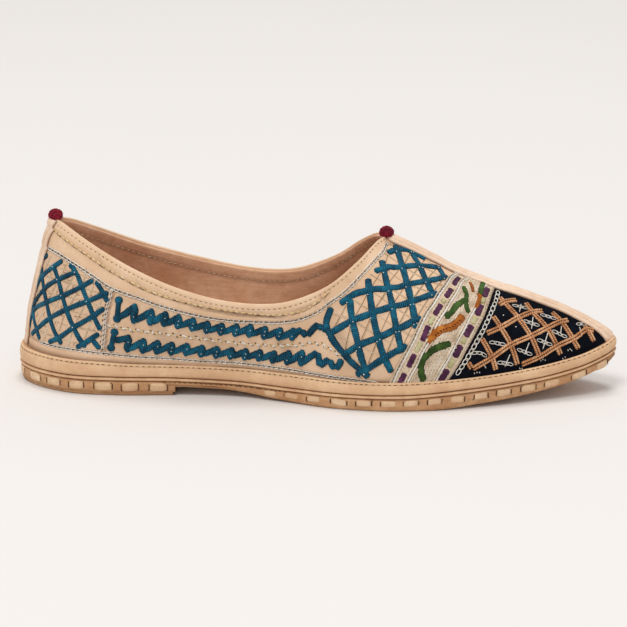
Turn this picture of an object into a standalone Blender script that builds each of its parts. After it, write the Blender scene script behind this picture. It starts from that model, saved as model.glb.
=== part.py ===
"""Mojari: a pointed slip-on leather shoe on a flat leather sole with one heel lift.

The toe points along +X, up is +Z, and the ground is Z = 0. The last is straight, so both
halves of the shoe are alike: each piece is built on the side Y > 0 and mirrored across Y = 0.
Sizes are in millimetres and become metres when a mesh is made.
"""

import math

import bmesh
import bpy
import numpy as np

MM = 0.001
WELD = 0.00001

# Driving dimensions of the last and of the pieces around it.
LENGTH = 271.4
TOE_X = LENGTH / 2
HEEL_X = -LENGTH / 2
WALL = 2.0
SEAM_GAP = 0.3
FEATHER_INSET = 3.0
BREAST_X = -61.0
THROAT_X = 31.6
THROAT_COLUMN_X = 40.0
RIDGE_TIP_X = 132.2
CAVITY_TIP_X = 117.0
NOSE_DEPTH = 4.0
MIDSOLE_THICKNESS = 1.3
INSOLE_THICKNESS = 2.5
INSOLE_INSET = 6.2
INSOLE_TIP_X = 113.0
STRIP_GAP = 0.5
RIDGE_STRIP_HALF = 4.0
RIDGE_STRIP_RISE = 2.3
BACK_STRIP_HALF = 3.6
BACK_STRIP_RISE = 2.4
POMPOM_RADIUS = 3.4
POMPOM_LIFT = 1.5
COLUMNS = 52
ROWS = 9
END_CROWDING = 0.45

# Half of the sole's edge seen from above, from the toe tip to the back of the heel.
OUTLINE = [
    (TOE_X, 0.0), (133.2, 5.8), (125.6, 11.4), (113.0, 17.4), (97.0, 24.0), (79.0, 30.9),
    (58.0, 37.2), (34.0, 40.5), (12.0, 38.6), (-10.0, 32.2), (-32.0, 27.0), (-58.0, 26.4),
    (-88.0, 28.4), (-108.0, 26.7), (-124.0, 18.8), (-133.0, 9.2), (HEEL_X, 0.0),
]

# The topline, from the throat to the back of the heel: forward, out, up.
TOPLINE = [
    (THROAT_X, 0.0, 69.2), (28.4, 7.8, 68.6), (20.5, 19.6, 62.2), (8.0, 26.0, 52.6),
    (-8.0, 27.8, 45.5), (-22.0, 28.7, 43.9), (-42.0, 29.2, 46.0), (-62.0, 26.9, 51.0),
    (-82.0, 20.8, 58.1), (-101.0, 12.9, 67.0), (-113.0, 5.2, 72.8), (-117.6, 0.0, 73.8),
]


def profile(*knots):
    """A smooth curve through (place, value) knots that never swings past them."""
    place, value = np.array(sorted(knots), float).T
    span = np.diff(place)
    slope = np.diff(value) / span
    tangent = np.concatenate([slope[:1], slope[1:] * 0.0, slope[-1:]])
    for knot in range(1, len(place) - 1):
        before, after = slope[knot - 1], slope[knot]
        if before * after > 0:
            tangent[knot] = 2 * before * after / (before + after)

    def at(x):
        x = np.clip(x, place[0], place[-1])
        cell = np.clip(np.searchsorted(place, x, side="right") - 1, 0, len(span) - 1)
        t = (x - place[cell]) / span[cell]
        rise = value[cell + 1] - value[cell]
        start = tangent[cell] * span[cell]
        finish = tangent[cell + 1] * span[cell]
        return value[cell] + t * (start + t * (3 * rise - 2 * start - finish
                                               + t * (start + finish - 2 * rise)))

    return at


# Heights along the shoe.
SOLE_BOTTOM = profile(
    (HEEL_X, 3.9), (-58, 3.9), (-36, 3.1), (-15, 1.0), (8, 0.0), (52, 0.0), (75, 1.6),
    (95, 3.8), (115, 7.5), (128, 11.9), (TOE_X, 16.2),
)
FEATHER = profile(
    (HEEL_X, 8.5), (-75, 8.4), (-36, 7.5), (-8, 6.9), (40, 7.2), (66, 8.6), (101, 11.2),
    (119, 14.2), (128, 17.0), (TOE_X, 19.8),
)
RAND_TOP = profile(
    (HEEL_X, 16.0), (-100, 15.6), (-75, 14.5), (-8, 13.3), (30, 13.0), (55, 13.4),
    (75, 14.3), (92, 15.5), (105, 17.0), (119, 19.6), (128, 22.4), (TOE_X, 25.4),
)
RIDGE = profile(
    (THROAT_X, 69.2), (42, 64.8), (52, 59.8), (61, 55.0), (70, 51.1), (80, 47.6), (92, 43.9),
    (105, 39.4), (118, 34.0), (126, 29.7), (RIDGE_TIP_X, 25.6),
)

# Shape of the upper's sections: leans at the feather edge and at the top in degrees, and how
# far each end keeps its lean, as a share of the section's height on the slant.
FEATHER_LEAN = profile(
    (HEEL_X, -8), (-108, 3), (-80, 8), (-40, 12), (0, 10), (80, 10), (110, 8), (TOE_X, 0)
)
TOP_LEAN = profile(
    (HEEL_X, 70), (-108, 70), (-80, 80), (-40, 90), (-10, 83), (8, 68), (20, 53),
    (30, 38), (40, 27), (60, 19), (100, 16), (TOE_X, 12),
)
FEATHER_HOLD = profile((HEEL_X, 0.36), (0, 0.36), (40, 0.43), (80, 0.46), (TOE_X, 0.40))
TOP_HOLD = profile((HEEL_X, 0.36), (0, 0.36), (40, 0.34), (80, 0.31), (TOE_X, 0.30))


def smooth_path(points, steps=24):
    """A dense curve through the points. It crosses Y = 0 squarely at both ends."""
    points = np.array(points, float)
    flip = np.ones(points.shape[1])
    flip[1] = -1
    points = np.vstack([points[1] * flip, points, points[-2] * flip])
    dense = []
    for before, start, end, after in zip(points, points[1:], points[2:], points[3:]):
        gaps = [math.dist(a, b) ** 0.5 for a, b in ((before, start), (start, end), (end, after))]
        leave = (start - before) / gaps[0] - (end - before) / (gaps[0] + gaps[1])
        leave = (leave + (end - start) / gaps[1]) * gaps[1]
        reach = (end - start) / gaps[1] - (after - start) / (gaps[1] + gaps[2])
        reach = (reach + (after - end) / gaps[2]) * gaps[1]
        for t in np.arange(steps) / steps:
            dense.append(
                start + t * (leave + t * (3 * (end - start) - 2 * leave - reach
                                          + t * (leave + reach - 2 * (end - start))))
            )
    dense.append(points[-2])
    return np.array(dense)


def spread(path, shares):
    """Points of the path at the given shares of its length."""
    run = np.concatenate([[0], np.cumsum(np.linalg.norm(np.diff(path, axis=0), axis=1))])
    return np.stack([np.interp(np.array(shares) * run[-1], run, c) for c in path.T], axis=-1)


def plan_normals(points):
    """Outward directions of a half outline seen from above, straight ahead at its ends."""
    along = np.gradient(points[:, :2], axis=0)
    out = np.stack([along[:, 1], -along[:, 0]], axis=-1)
    out /= np.linalg.norm(out, axis=1, keepdims=True)
    out[0], out[-1] = (1, 0), (-1, 0)
    return out


def crowded(count):
    """Shares from 0 to 1 that stand closer together near both ends."""
    t = np.arange(count + 1) / count
    return t - END_CROWDING * np.sin(2 * math.pi * t) / (2 * math.pi)


def outline(inset, front=TOE_X, count=COLUMNS):
    """Half of the sole's edge moved inwards, from its own tip, or from a front line, to the heel."""
    path = smooth_path(OUTLINE)
    path = path - inset * plan_normals(path)
    if inset:
        first = int(np.argmax(path[:, 1] > 0))
        last = len(path) - 1 - int(np.argmax(path[::-1, 1] > 0))
        ends = []
        for inside, outside in ((first, first - 1), (last, last + 1)):
            share = path[inside, 1] / (path[inside, 1] - path[outside, 1])
            ends.append(path[inside] + share * (path[outside] - path[inside]))
        path = np.vstack([ends[0], path[first:last + 1], ends[1]])
    path = path[path[:, 0] <= front]
    return spread(path, crowded(count))


def top_edge(foot_x):
    """The ridge in front of the throat and the topline behind it, one point for each column."""
    throat = int(np.argmax(foot_x < THROAT_COLUMN_X))
    ahead = (foot_x[0] - foot_x[:throat + 1]) / (foot_x[0] - foot_x[throat])
    ridge_x = RIDGE_TIP_X + (THROAT_X - RIDGE_TIP_X) * ahead
    ridge = np.stack([ridge_x, ridge_x * 0, RIDGE(ridge_x)], axis=-1)
    shares = crowded(len(foot_x) - 1)
    shares = (shares[throat:] - shares[throat]) / (1 - shares[throat])
    return np.vstack([ridge[:-1], spread(smooth_path(TOPLINE), shares)]), throat


def upper_sections(columns=COLUMNS, rows=ROWS):
    """The upper's outer face as sections from feather edge to top, and the throat's column."""
    foot = outline(FEATHER_INSET, count=columns)
    out = np.column_stack([plan_normals(foot), np.zeros(columns + 1)])
    x = foot[:, 0]
    foot = np.column_stack([foot, FEATHER(x) + SEAM_GAP])
    top, throat = top_edge(x)
    up = np.array([0.0, 0.0, 1.0])
    slant = np.linalg.norm(top - foot, axis=1)[:, None]
    lean = np.radians(FEATHER_LEAN(x))[:, None]
    fall = np.radians(TOP_LEAN(x))[:, None]
    low = foot + slant * FEATHER_HOLD(x)[:, None] * (np.sin(lean) * out + np.cos(lean) * up)
    high = top + slant * TOP_HOLD(x)[:, None] * (np.cos(fall) * out - np.sin(fall) * up)
    share = (np.arange(rows + 1) / rows)[None, :, None]
    rest = 1 - share
    face = (rest ** 3 * foot[:, None] + 3 * rest ** 2 * share * low[:, None]
            + 3 * rest * share ** 2 * high[:, None] + share ** 3 * top[:, None])
    return face, throat


def face_normals(face):
    """Outward directions of the upper's outer face."""
    along = np.gradient(face, axis=0)
    upward = np.gradient(face, axis=1)
    out = np.cross(along, upward)
    out[0, :, 1] = out[-1, :, 1] = 0
    out[0, :, 0] += 1e-9
    return out / np.linalg.norm(out, axis=-1, keepdims=True)


def material(name, colour, roughness):
    """A plain surface. The colour is linear red, green and blue."""
    made = bpy.data.materials.new(name)
    made.use_nodes = True
    surface = made.node_tree.nodes["Principled BSDF"]
    surface.inputs["Base Color"].default_value = (*colour, 1)
    surface.inputs["Roughness"].default_value = roughness
    return made


def finish(name, mesh_data, surface):
    """Mirrors a half piece, closes it on Y = 0 and puts it in the scene."""
    bmesh.ops.remove_doubles(mesh_data, verts=mesh_data.verts, dist=WELD)
    everything = mesh_data.verts[:] + mesh_data.edges[:] + mesh_data.faces[:]
    bmesh.ops.mirror(mesh_data, geom=everything, axis="Y", merge_dist=WELD)
    bmesh.ops.remove_doubles(mesh_data, verts=mesh_data.verts, dist=WELD)
    bmesh.ops.triangulate(mesh_data, faces=mesh_data.faces)
    bmesh.ops.recalc_face_normals(mesh_data, faces=mesh_data.faces)
    for face in mesh_data.faces:
        face.smooth = True
    mesh = bpy.data.meshes.new(name)
    mesh_data.to_mesh(mesh)
    mesh_data.free()
    mesh.materials.append(surface)
    mesh.set_sharp_from_angle(angle=math.radians(40))
    obj = bpy.data.objects.new(name, mesh)
    bpy.context.scene.collection.objects.link(obj)
    return obj


def add_points(mesh_data, grid):
    return [[mesh_data.verts.new(point * MM) for point in row] for row in grid]


def add_skin(mesh_data, rows, wrap=False):
    """Faces between neighbouring rows of points, closed round each row if it wraps."""
    for row, after in zip(rows, rows[1:]):
        last = len(row) if wrap else len(row) - 1
        for k in range(last):
            near = (k + 1) % len(row)
            mesh_data.faces.new((row[k], row[near], after[near], after[k]))


def layer(name, surface, edge, front=TOE_X, count=COLUMNS, square_front=False):
    """A sheet under the foot. Its edge is a list of (inset, height curve, height added)."""
    rings = []
    for inset, height, added in edge:
        ring = outline(inset, front, count)
        rings.append(np.column_stack([ring, height(ring[:, 0]) + added]))
    flat = np.array([1.0, 0.0, 1.0])
    rings = [rings[0] * flat, *rings, rings[-1] * flat]
    mesh_data = bmesh.new()
    rows = add_points(mesh_data, np.stack(rings, axis=1))
    add_skin(mesh_data, rows)
    if square_front:
        mesh_data.faces.new(rows[0])
    return finish(name, mesh_data, surface)


def outsole():
    """One thick sheet: thin at the waist, full under the ball, turned up towards the toe."""
    leather = material("sole_leather", (0.42, 0.27, 0.15), 0.72)
    top = -MIDSOLE_THICKNESS - SEAM_GAP
    return layer("outsole", leather, [
        (1.6, SOLE_BOTTOM, 0.0), (0.7, SOLE_BOTTOM, 0.5), (0.5, FEATHER, top - 0.6),
        (0.9, FEATHER, top),
    ])


def heel_lift():
    """The single lift. It ends in a square breast under the arch."""
    leather = material("lift_leather", (0.30, 0.18, 0.10), 0.75)
    ground = profile((HEEL_X, 0.0), (TOE_X, 0.0))
    return layer("heel_lift", leather, [
        (2.0, ground, 0.0), (1.1, ground, 0.7), (0.9, ground, 2.9), (1.1, ground, 3.9 - SEAM_GAP),
    ], front=BREAST_X, count=26, square_front=True)


def midsole():
    """The thin light welt that shows as a line above the outsole."""
    leather = material("welt_leather", (0.55, 0.38, 0.23), 0.65)
    return layer("midsole", leather, [
        (0.6, FEATHER, -MIDSOLE_THICKNESS), (0.0, FEATHER, -MIDSOLE_THICKNESS / 2),
        (0.6, FEATHER, 0.0),
    ])


def insole():
    """The sock that the foot stands on, inside the upper."""
    leather = material("insole_leather", (0.36, 0.20, 0.11), 0.8)
    base = SEAM_GAP
    return layer("insole", leather, [
        (INSOLE_INSET, FEATHER, base), (INSOLE_INSET, FEATHER, base + INSOLE_THICKNESS - 0.5),
        (INSOLE_INSET + 0.6, FEATHER, base + INSOLE_THICKNESS),
    ], front=INSOLE_TIP_X, count=40, square_front=True)


def upper():
    """Vamp, quarters and counter as one hollow wall, open at the topline and underneath."""
    face, throat = upper_sections()
    inner = face - WALL * face_normals(face)
    inner[:throat + 1, -1, 1] = 0
    inner[-1, :, 1] = 0
    start = int(np.argmax(face[:, 0, 0] < CAVITY_TIP_X))
    nose = inner[start] * np.array([1.0, 0.0, 1.0])
    nose[:-1, 0] += NOSE_DEPTH
    inner = np.concatenate([nose[None], inner[start:]])
    inner[:, 0, 2] = FEATHER(inner[:, 0, 0]) + SEAM_GAP
    mesh_data = bmesh.new()
    outside = add_points(mesh_data, face)
    inside = add_points(mesh_data, inner)
    add_skin(mesh_data, outside)
    add_skin(mesh_data, inside)
    add_skin(mesh_data, [[a[0], b[0]] for a, b in zip(outside[start:], inside[1:])])
    rims = zip(outside[throat:], inside[throat - start + 1:])
    add_skin(mesh_data, [[a[-1], b[-1]] for a, b in rims])
    tip = inside[0][0]
    for column, after in zip(outside[:start], outside[1:start + 1]):
        mesh_data.faces.new((tip, column[0], after[0]))
    mesh_data.faces.new((tip, outside[start][0], inside[1][0]))
    return finish("upper", mesh_data, material("upper_leather", (0.69, 0.46, 0.28), 0.6))


def rand_level(x, share):
    """Height on the rand, from its foot at share 0 to its top at share 1."""
    foot = FEATHER(x) + SEAM_GAP
    return foot + share * (RAND_TOP(x) - foot)


def rand():
    """The rolled leather band that covers the seam between upper and sole."""
    face, _ = upper_sections(rows=60)
    out = np.column_stack([plan_normals(face[:, 0]), np.zeros(len(face))])
    rings = []
    for share in (0.0, 0.5, 1.0):
        level = rand_level(face[:, 0, 0], share)
        reach = np.array([
            np.interp(height, section[:, 2], (section - section[0]) @ side)
            for height, section, side in zip(level, face, out)
        ])
        ring = face[:, 0] + out * (reach + SEAM_GAP)[:, None]
        ring[:, 2] = rand_level(ring[:, 0], share)
        rings.append(ring)
    for inset, share in ((1.3, 0.97), (0.55, 0.72), (0.35, 0.4), (0.9, 0.0)):
        edge = outline(inset)
        rings.append(np.column_stack([edge, rand_level(edge[:, 0], share)]))
    mesh_data = bmesh.new()
    add_skin(mesh_data, add_points(mesh_data, np.stack(rings, axis=1)), wrap=True)
    return finish("rand", mesh_data, material("rand_leather", (0.66, 0.45, 0.28), 0.6))


def strip(name, lines, rise):
    """A rolled strip laid on the upper. Each line holds its middle, shoulder and edge there."""
    rows = []
    for (middle, shoulder, edge), (middle_out, shoulder_out, edge_out) in lines:
        rows.append([
            middle + middle_out * STRIP_GAP,
            shoulder + shoulder_out * STRIP_GAP,
            edge + edge_out * STRIP_GAP,
            edge + edge_out * rise * 0.6,
            shoulder + shoulder_out * rise * 0.95,
            middle + middle_out * rise,
        ])
    mesh_data = bmesh.new()
    points = add_points(mesh_data, rows)
    add_skin(mesh_data, points)
    mesh_data.faces.new(points[0])
    mesh_data.faces.new(points[-1])
    return finish(name, mesh_data, material(name + "_leather", (0.74, 0.52, 0.35), 0.55))


def across(line, normals, half):
    """Middle, shoulder and edge of a strip on a line of face points that starts at the middle."""
    reaches = half * np.array([0.0, 0.7, 1.0])
    picks = [np.column_stack([np.interp(reaches, line[:, 1], part) for part in table.T])
             for table in (line, normals)]
    picks[1][0, 1] = 0
    return picks


def ridge_strip():
    """The folded strip along the ridge, from the throat to the toe tip."""
    face, throat = upper_sections(rows=80)
    out = face_normals(face)
    last = (face[throat - 1:throat + 1].mean(axis=0), out[throat - 1:throat + 1].mean(axis=0))
    rows = []
    for section, side in [*zip(face[2:throat], out[2:throat]), last]:
        widest = int(np.argmax(section[:, 1]))
        half = min(RIDGE_STRIP_HALF, 0.8 * section[widest, 1])
        rows.append(across(section[:widest:-1], side[:widest:-1], half))
    return strip("ridge_strip", rows, RIDGE_STRIP_RISE)


def back_strip():
    """The same strip up the back of the heel, from the rand to the topline."""
    face, _ = upper_sections(columns=4 * COLUMNS, rows=18)
    out = face_normals(face)
    clear = face[-1, :, 2] > RAND_TOP(HEEL_X) + SEAM_GAP
    rows = [
        across(face[:-COLUMNS:-1, row], out[:-COLUMNS:-1, row], BACK_STRIP_HALF)
        for row in np.flatnonzero(clear)
    ]
    return strip("back_strip", rows, BACK_STRIP_RISE)


def pompom(name, seat):
    """A wound ball of yarn, pressed flat where it is sewn down on its seat."""
    mesh_data = bmesh.new()
    bmesh.ops.create_uvsphere(mesh_data, u_segments=16, v_segments=10, radius=POMPOM_RADIUS)
    bmesh.ops.translate(mesh_data, verts=mesh_data.verts, vec=(0, 0, POMPOM_LIFT))
    everything = mesh_data.verts[:] + mesh_data.edges[:] + mesh_data.faces[:]
    bmesh.ops.bisect_plane(mesh_data, geom=everything, plane_co=(0, 0, 0), plane_no=(0, 0, 1),
                           clear_inner=True)
    bmesh.ops.holes_fill(mesh_data, edges=mesh_data.edges)
    bmesh.ops.scale(mesh_data, verts=mesh_data.verts, vec=(MM, MM, MM))
    mesh = bpy.data.meshes.new(name)
    mesh_data.to_mesh(mesh)
    mesh_data.free()
    mesh.materials.append(material(name + "_yarn", (0.26, 0.01, 0.04), 0.9))
    mesh.shade_smooth()
    obj = bpy.data.objects.new(name, mesh)
    obj.location = [place * MM for place in seat]
    bpy.context.scene.collection.objects.link(obj)
    return obj


def build():
    for obj in list(bpy.data.objects):
        bpy.data.objects.remove(obj)
    outsole()
    heel_lift()
    midsole()
    insole()
    upper()
    rand()
    ridge_strip()
    back_strip()
    pompom("throat_pompom", (32.0, 0.0, 69.6))
    pompom("back_pompom", (-117.2, 0.0, 74.9))


build()
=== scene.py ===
"""Mojari: the finished look of a pointed slip-on leather shoe with an embroidered upper.

The toe points along +X, up is +Z, the ground is Z = 0. Both sides of the shoe are alike, so
every piece is made on the side Y > 0 and mirrored. Sizes are in millimetres until a piece
becomes a mesh.
"""

import math
import random

import bmesh
import bpy
import numpy as np
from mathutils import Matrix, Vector


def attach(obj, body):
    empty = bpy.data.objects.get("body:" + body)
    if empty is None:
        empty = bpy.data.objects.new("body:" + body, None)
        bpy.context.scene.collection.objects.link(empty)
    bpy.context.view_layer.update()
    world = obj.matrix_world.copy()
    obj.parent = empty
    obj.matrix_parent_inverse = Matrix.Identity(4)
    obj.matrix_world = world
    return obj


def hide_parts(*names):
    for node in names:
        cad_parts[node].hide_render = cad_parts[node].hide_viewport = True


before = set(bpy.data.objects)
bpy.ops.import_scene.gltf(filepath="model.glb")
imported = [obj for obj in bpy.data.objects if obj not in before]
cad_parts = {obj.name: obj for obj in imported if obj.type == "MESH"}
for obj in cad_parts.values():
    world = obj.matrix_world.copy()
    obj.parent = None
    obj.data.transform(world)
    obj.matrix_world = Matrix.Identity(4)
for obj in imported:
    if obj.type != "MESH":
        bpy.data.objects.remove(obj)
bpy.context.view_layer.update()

MM = 0.001
WELD = 0.0000002
UP = np.array([0.0, 0.0, 1.0])

# The last, as in the part: sizes of the sole, the upper and the pieces around them.
LENGTH = 271.4
TOE_X = LENGTH / 2
HEEL_X = -LENGTH / 2
WALL = 2.0
SEAM_GAP = 0.3
FEATHER_INSET = 3.0
BREAST_X = -61.0
THROAT_X = 31.6
THROAT_COLUMN_X = 40.0
RIDGE_TIP_X = 132.2
CAVITY_TIP_X = 117.0
INSOLE_TIP_X = 113.0
MIDSOLE_THICKNESS = 1.3
INSOLE_THICKNESS = 2.5
END_CROWDING = 0.45
COLUMNS = 300
ROWS = 96

# Half of the sole's edge seen from above, from the toe tip to the back of the heel.
OUTLINE = [
    (TOE_X, 0.0), (133.2, 5.8), (125.6, 11.4), (113.0, 17.4), (97.0, 24.0), (79.0, 30.9),
    (58.0, 37.2), (34.0, 40.5), (12.0, 38.6), (-10.0, 32.2), (-32.0, 27.0), (-58.0, 26.4),
    (-88.0, 28.4), (-108.0, 26.7), (-124.0, 18.8), (-133.0, 9.2), (HEEL_X, 0.0),
]

# The topline, from the throat to the back of the heel: forward, out, up.
TOPLINE = [
    (THROAT_X, 0.0, 69.2), (28.4, 7.8, 68.6), (20.5, 19.6, 62.2), (8.0, 26.0, 52.6),
    (-8.0, 27.8, 45.5), (-22.0, 28.7, 43.9), (-42.0, 29.2, 46.0), (-62.0, 26.9, 51.0),
    (-82.0, 20.8, 58.1), (-101.0, 12.9, 67.0), (-113.0, 5.2, 72.8), (-117.6, 0.0, 73.8),
]


def profile(*knots):
    """A smooth curve through (place, value) knots that never swings past them."""
    place, value = np.array(sorted(knots), float).T
    span = np.diff(place)
    slope = np.diff(value) / span
    tangent = np.concatenate([slope[:1], slope[1:] * 0.0, slope[-1:]])
    for knot in range(1, len(place) - 1):
        before, after = slope[knot - 1], slope[knot]
        if before * after > 0:
            tangent[knot] = 2 * before * after / (before + after)

    def at(x):
        x = np.clip(x, place[0], place[-1])
        cell = np.clip(np.searchsorted(place, x, side="right") - 1, 0, len(span) - 1)
        t = (x - place[cell]) / span[cell]
        rise = value[cell + 1] - value[cell]
        start = tangent[cell] * span[cell]
        finish = tangent[cell + 1] * span[cell]
        return value[cell] + t * (start + t * (3 * rise - 2 * start - finish
                                               + t * (start + finish - 2 * rise)))

    return at


# Heights along the shoe.
SOLE_BOTTOM = profile(
    (HEEL_X, 3.9), (-58, 3.9), (-36, 3.1), (-15, 1.0), (8, 0.0), (52, 0.0), (75, 1.6),
    (95, 3.8), (115, 7.5), (128, 11.9), (TOE_X, 16.2),
)
FEATHER = profile(
    (HEEL_X, 8.5), (-75, 8.4), (-36, 7.5), (-8, 6.9), (40, 7.2), (66, 8.6), (101, 11.2),
    (119, 14.2), (128, 17.0), (TOE_X, 19.8),
)
RAND_TOP = profile(
    (HEEL_X, 16.0), (-100, 15.6), (-75, 14.5), (-8, 13.3), (30, 13.0), (55, 13.4),
    (75, 14.3), (92, 15.5), (105, 17.0), (119, 19.6), (128, 22.4), (TOE_X, 25.4),
)
RIDGE = profile(
    (THROAT_X, 69.2), (42, 64.8), (52, 59.8), (61, 55.0), (70, 51.1), (80, 47.6), (92, 43.9),
    (105, 39.4), (118, 34.0), (126, 29.7), (RIDGE_TIP_X, 25.6),
)

# Shape of the upper's sections, as leans in degrees and shares of the slant height.
FEATHER_LEAN = profile(
    (HEEL_X, -8), (-108, 3), (-80, 8), (-40, 12), (0, 10), (80, 10), (110, 8), (TOE_X, 0)
)
TOP_LEAN = profile(
    (HEEL_X, 70), (-108, 70), (-80, 80), (-40, 90), (-10, 83), (8, 68), (20, 53),
    (30, 38), (40, 27), (60, 19), (100, 16), (TOE_X, 12),
)
FEATHER_HOLD = profile((HEEL_X, 0.36), (0, 0.36), (40, 0.43), (80, 0.46), (TOE_X, 0.40))
TOP_HOLD = profile((HEEL_X, 0.36), (0, 0.36), (40, 0.34), (80, 0.31), (TOE_X, 0.30))


def smooth_path(points, steps=24, square=True):
    """A dense curve through the points. A square one crosses Y = 0 squarely at both ends."""
    points = np.array(points, float)
    if square:
        flip = np.ones(points.shape[1])
        flip[1] = -1
        points = np.vstack([points[1] * flip, points, points[-2] * flip])
    else:
        points = np.vstack([2 * points[0] - points[1], points, 2 * points[-1] - points[-2]])
    dense = []
    for before, start, end, after in zip(points, points[1:], points[2:], points[3:]):
        gaps = [math.dist(a, b) ** 0.5 for a, b in ((before, start), (start, end), (end, after))]
        leave = (start - before) / gaps[0] - (end - before) / (gaps[0] + gaps[1])
        leave = (leave + (end - start) / gaps[1]) * gaps[1]
        reach = (end - start) / gaps[1] - (after - start) / (gaps[1] + gaps[2])
        reach = (reach + (after - end) / gaps[2]) * gaps[1]
        for t in np.arange(steps) / steps:
            dense.append(
                start + t * (leave + t * (3 * (end - start) - 2 * leave - reach
                                          + t * (leave + reach - 2 * (end - start))))
            )
    dense.append(points[-2])
    return np.array(dense)


def lengths(path):
    """Distance run along a path, at each of its points."""
    return np.concatenate([[0], np.cumsum(np.linalg.norm(np.diff(path, axis=0), axis=1))])


def spread(path, shares):
    """Points of the path at the given shares of its length."""
    run = lengths(path)
    return np.stack([np.interp(np.array(shares) * run[-1], run, c) for c in path.T], axis=-1)


def plan_normals(points):
    """Outward directions of a half outline seen from above, straight ahead at its ends."""
    along = np.gradient(points[:, :2], axis=0)
    out = np.stack([along[:, 1], -along[:, 0]], axis=-1)
    out /= np.linalg.norm(out, axis=1, keepdims=True)
    out[0], out[-1] = (1, 0), (-1, 0)
    return out


def crowded(count):
    """Shares from 0 to 1 that stand closer together near both ends."""
    t = np.arange(count + 1) / count
    return t - END_CROWDING * np.sin(2 * math.pi * t) / (2 * math.pi)


def outline(inset, front=TOE_X, count=COLUMNS):
    """Half of the sole's edge moved inwards, from its tip or a front line to the heel."""
    path = smooth_path(OUTLINE)
    path = path - inset * plan_normals(path)
    if inset:
        first = int(np.argmax(path[:, 1] > 0))
        last = len(path) - 1 - int(np.argmax(path[::-1, 1] > 0))
        ends = []
        for inside, outside in ((first, first - 1), (last, last + 1)):
            share = path[inside, 1] / (path[inside, 1] - path[outside, 1])
            ends.append(path[inside] + share * (path[outside] - path[inside]))
        path = np.vstack([ends[0], path[first:last + 1], ends[1]])
    path = path[path[:, 0] <= front]
    return spread(path, crowded(count))


def top_edge(foot_x):
    """The ridge in front of the throat and the topline behind it, one point for each column."""
    throat = int(np.argmax(foot_x < THROAT_COLUMN_X))
    ahead = (foot_x[0] - foot_x[:throat + 1]) / (foot_x[0] - foot_x[throat])
    ridge_x = RIDGE_TIP_X + (THROAT_X - RIDGE_TIP_X) * ahead
    ridge = np.stack([ridge_x, ridge_x * 0, RIDGE(ridge_x)], axis=-1)
    shares = crowded(len(foot_x) - 1)
    shares = (shares[throat:] - shares[throat]) / (1 - shares[throat])
    return np.vstack([ridge[:-1], spread(smooth_path(TOPLINE), shares)]), throat


def upper_sections(columns=COLUMNS, rows=ROWS):
    """The upper's outer face as sections from feather edge to top, and the throat's column."""
    foot = outline(FEATHER_INSET, count=columns)
    out = np.column_stack([plan_normals(foot), np.zeros(columns + 1)])
    x = foot[:, 0]
    foot = np.column_stack([foot, FEATHER(x) + SEAM_GAP])
    top, throat = top_edge(x)
    slant = np.linalg.norm(top - foot, axis=1)[:, None]
    lean = np.radians(FEATHER_LEAN(x))[:, None]
    fall = np.radians(TOP_LEAN(x))[:, None]
    low = foot + slant * FEATHER_HOLD(x)[:, None] * (np.sin(lean) * out + np.cos(lean) * UP)
    high = top + slant * TOP_HOLD(x)[:, None] * (np.cos(fall) * out - np.sin(fall) * UP)
    share = (np.arange(rows + 1) / rows)[None, :, None]
    rest = 1 - share
    face = (rest ** 3 * foot[:, None] + 3 * rest ** 2 * share * low[:, None]
            + 3 * rest * share ** 2 * high[:, None] + share ** 3 * top[:, None])
    return face, throat


def face_normals(face):
    """Outward directions of the upper's outer face."""
    out = np.cross(np.gradient(face, axis=0), np.gradient(face, axis=1))
    out[0, :, 1] = out[-1, :, 1] = 0
    out[0, :, 0] += 1e-9
    return out / np.linalg.norm(out, axis=-1, keepdims=True)


# ---------------------------------------------------------------- the leather's own surface

skin, throat_column = upper_sections()
skin_out = face_normals(skin)
skin_out[:throat_column + 1, -1, 1] = 0
skin_out /= np.linalg.norm(skin_out, axis=-1, keepdims=True)
skin_rise = np.concatenate([
    np.zeros((COLUMNS + 1, 1)),
    np.cumsum(np.linalg.norm(np.diff(skin, axis=1), axis=-1), axis=1),
], axis=1)
skin_run = np.concatenate([
    np.zeros((1, ROWS + 1)),
    np.cumsum(np.linalg.norm(np.diff(skin, axis=0), axis=-1), axis=0),
])
skin_slope = np.gradient(skin, axis=0), np.gradient(skin, axis=1)


def spot(x, z):
    """The (column, row) place on the leather that stands at x, z seen square from the side."""
    gap = (skin[..., 0] - x) ** 2 + (skin[..., 2] - z) ** 2
    i, j = np.unravel_index(np.argmin(gap), gap.shape)
    slopes = np.array([[slope[i, j, axis] for slope in skin_slope] for axis in (0, 2)])
    if abs(np.linalg.det(slopes)) < 1e-3:
        return np.array([i, j], float)
    miss = np.array([x - skin[i, j, 0], z - skin[i, j, 2]])
    step = np.clip(np.linalg.solve(slopes, miss), -1, 1)
    return np.clip(np.array([i, j]) + step, 0, (COLUMNS, ROWS))


def sampled(table, spots):
    """A table of the leather read between its columns and rows."""
    column = np.clip(spots[..., 0], 0, COLUMNS - 1e-6)
    row = np.clip(spots[..., 1], 0, ROWS - 1e-6)
    i, j = column.astype(int), row.astype(int)
    a, b = column - i, row - j
    if table.ndim == 3:
        a, b = a[..., None], b[..., None]
    return ((1 - a) * ((1 - b) * table[i, j] + b * table[i, j + 1])
            + a * ((1 - b) * table[i + 1, j] + b * table[i + 1, j + 1]))


def rows_of(line):
    """The row at which a lengthwise line crosses each column."""
    spots = line_spots(line)
    order = np.argsort(spots[:, 0])
    return np.interp(np.arange(COLUMNS + 1), spots[order, 0], spots[order, 1])


def columns_of(line, rows):
    """The column at which an upright line crosses each row."""
    spots = line_spots(line)
    order = np.argsort(spots[:, 1])
    return np.interp(rows, spots[order, 1], spots[order, 0])


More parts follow.
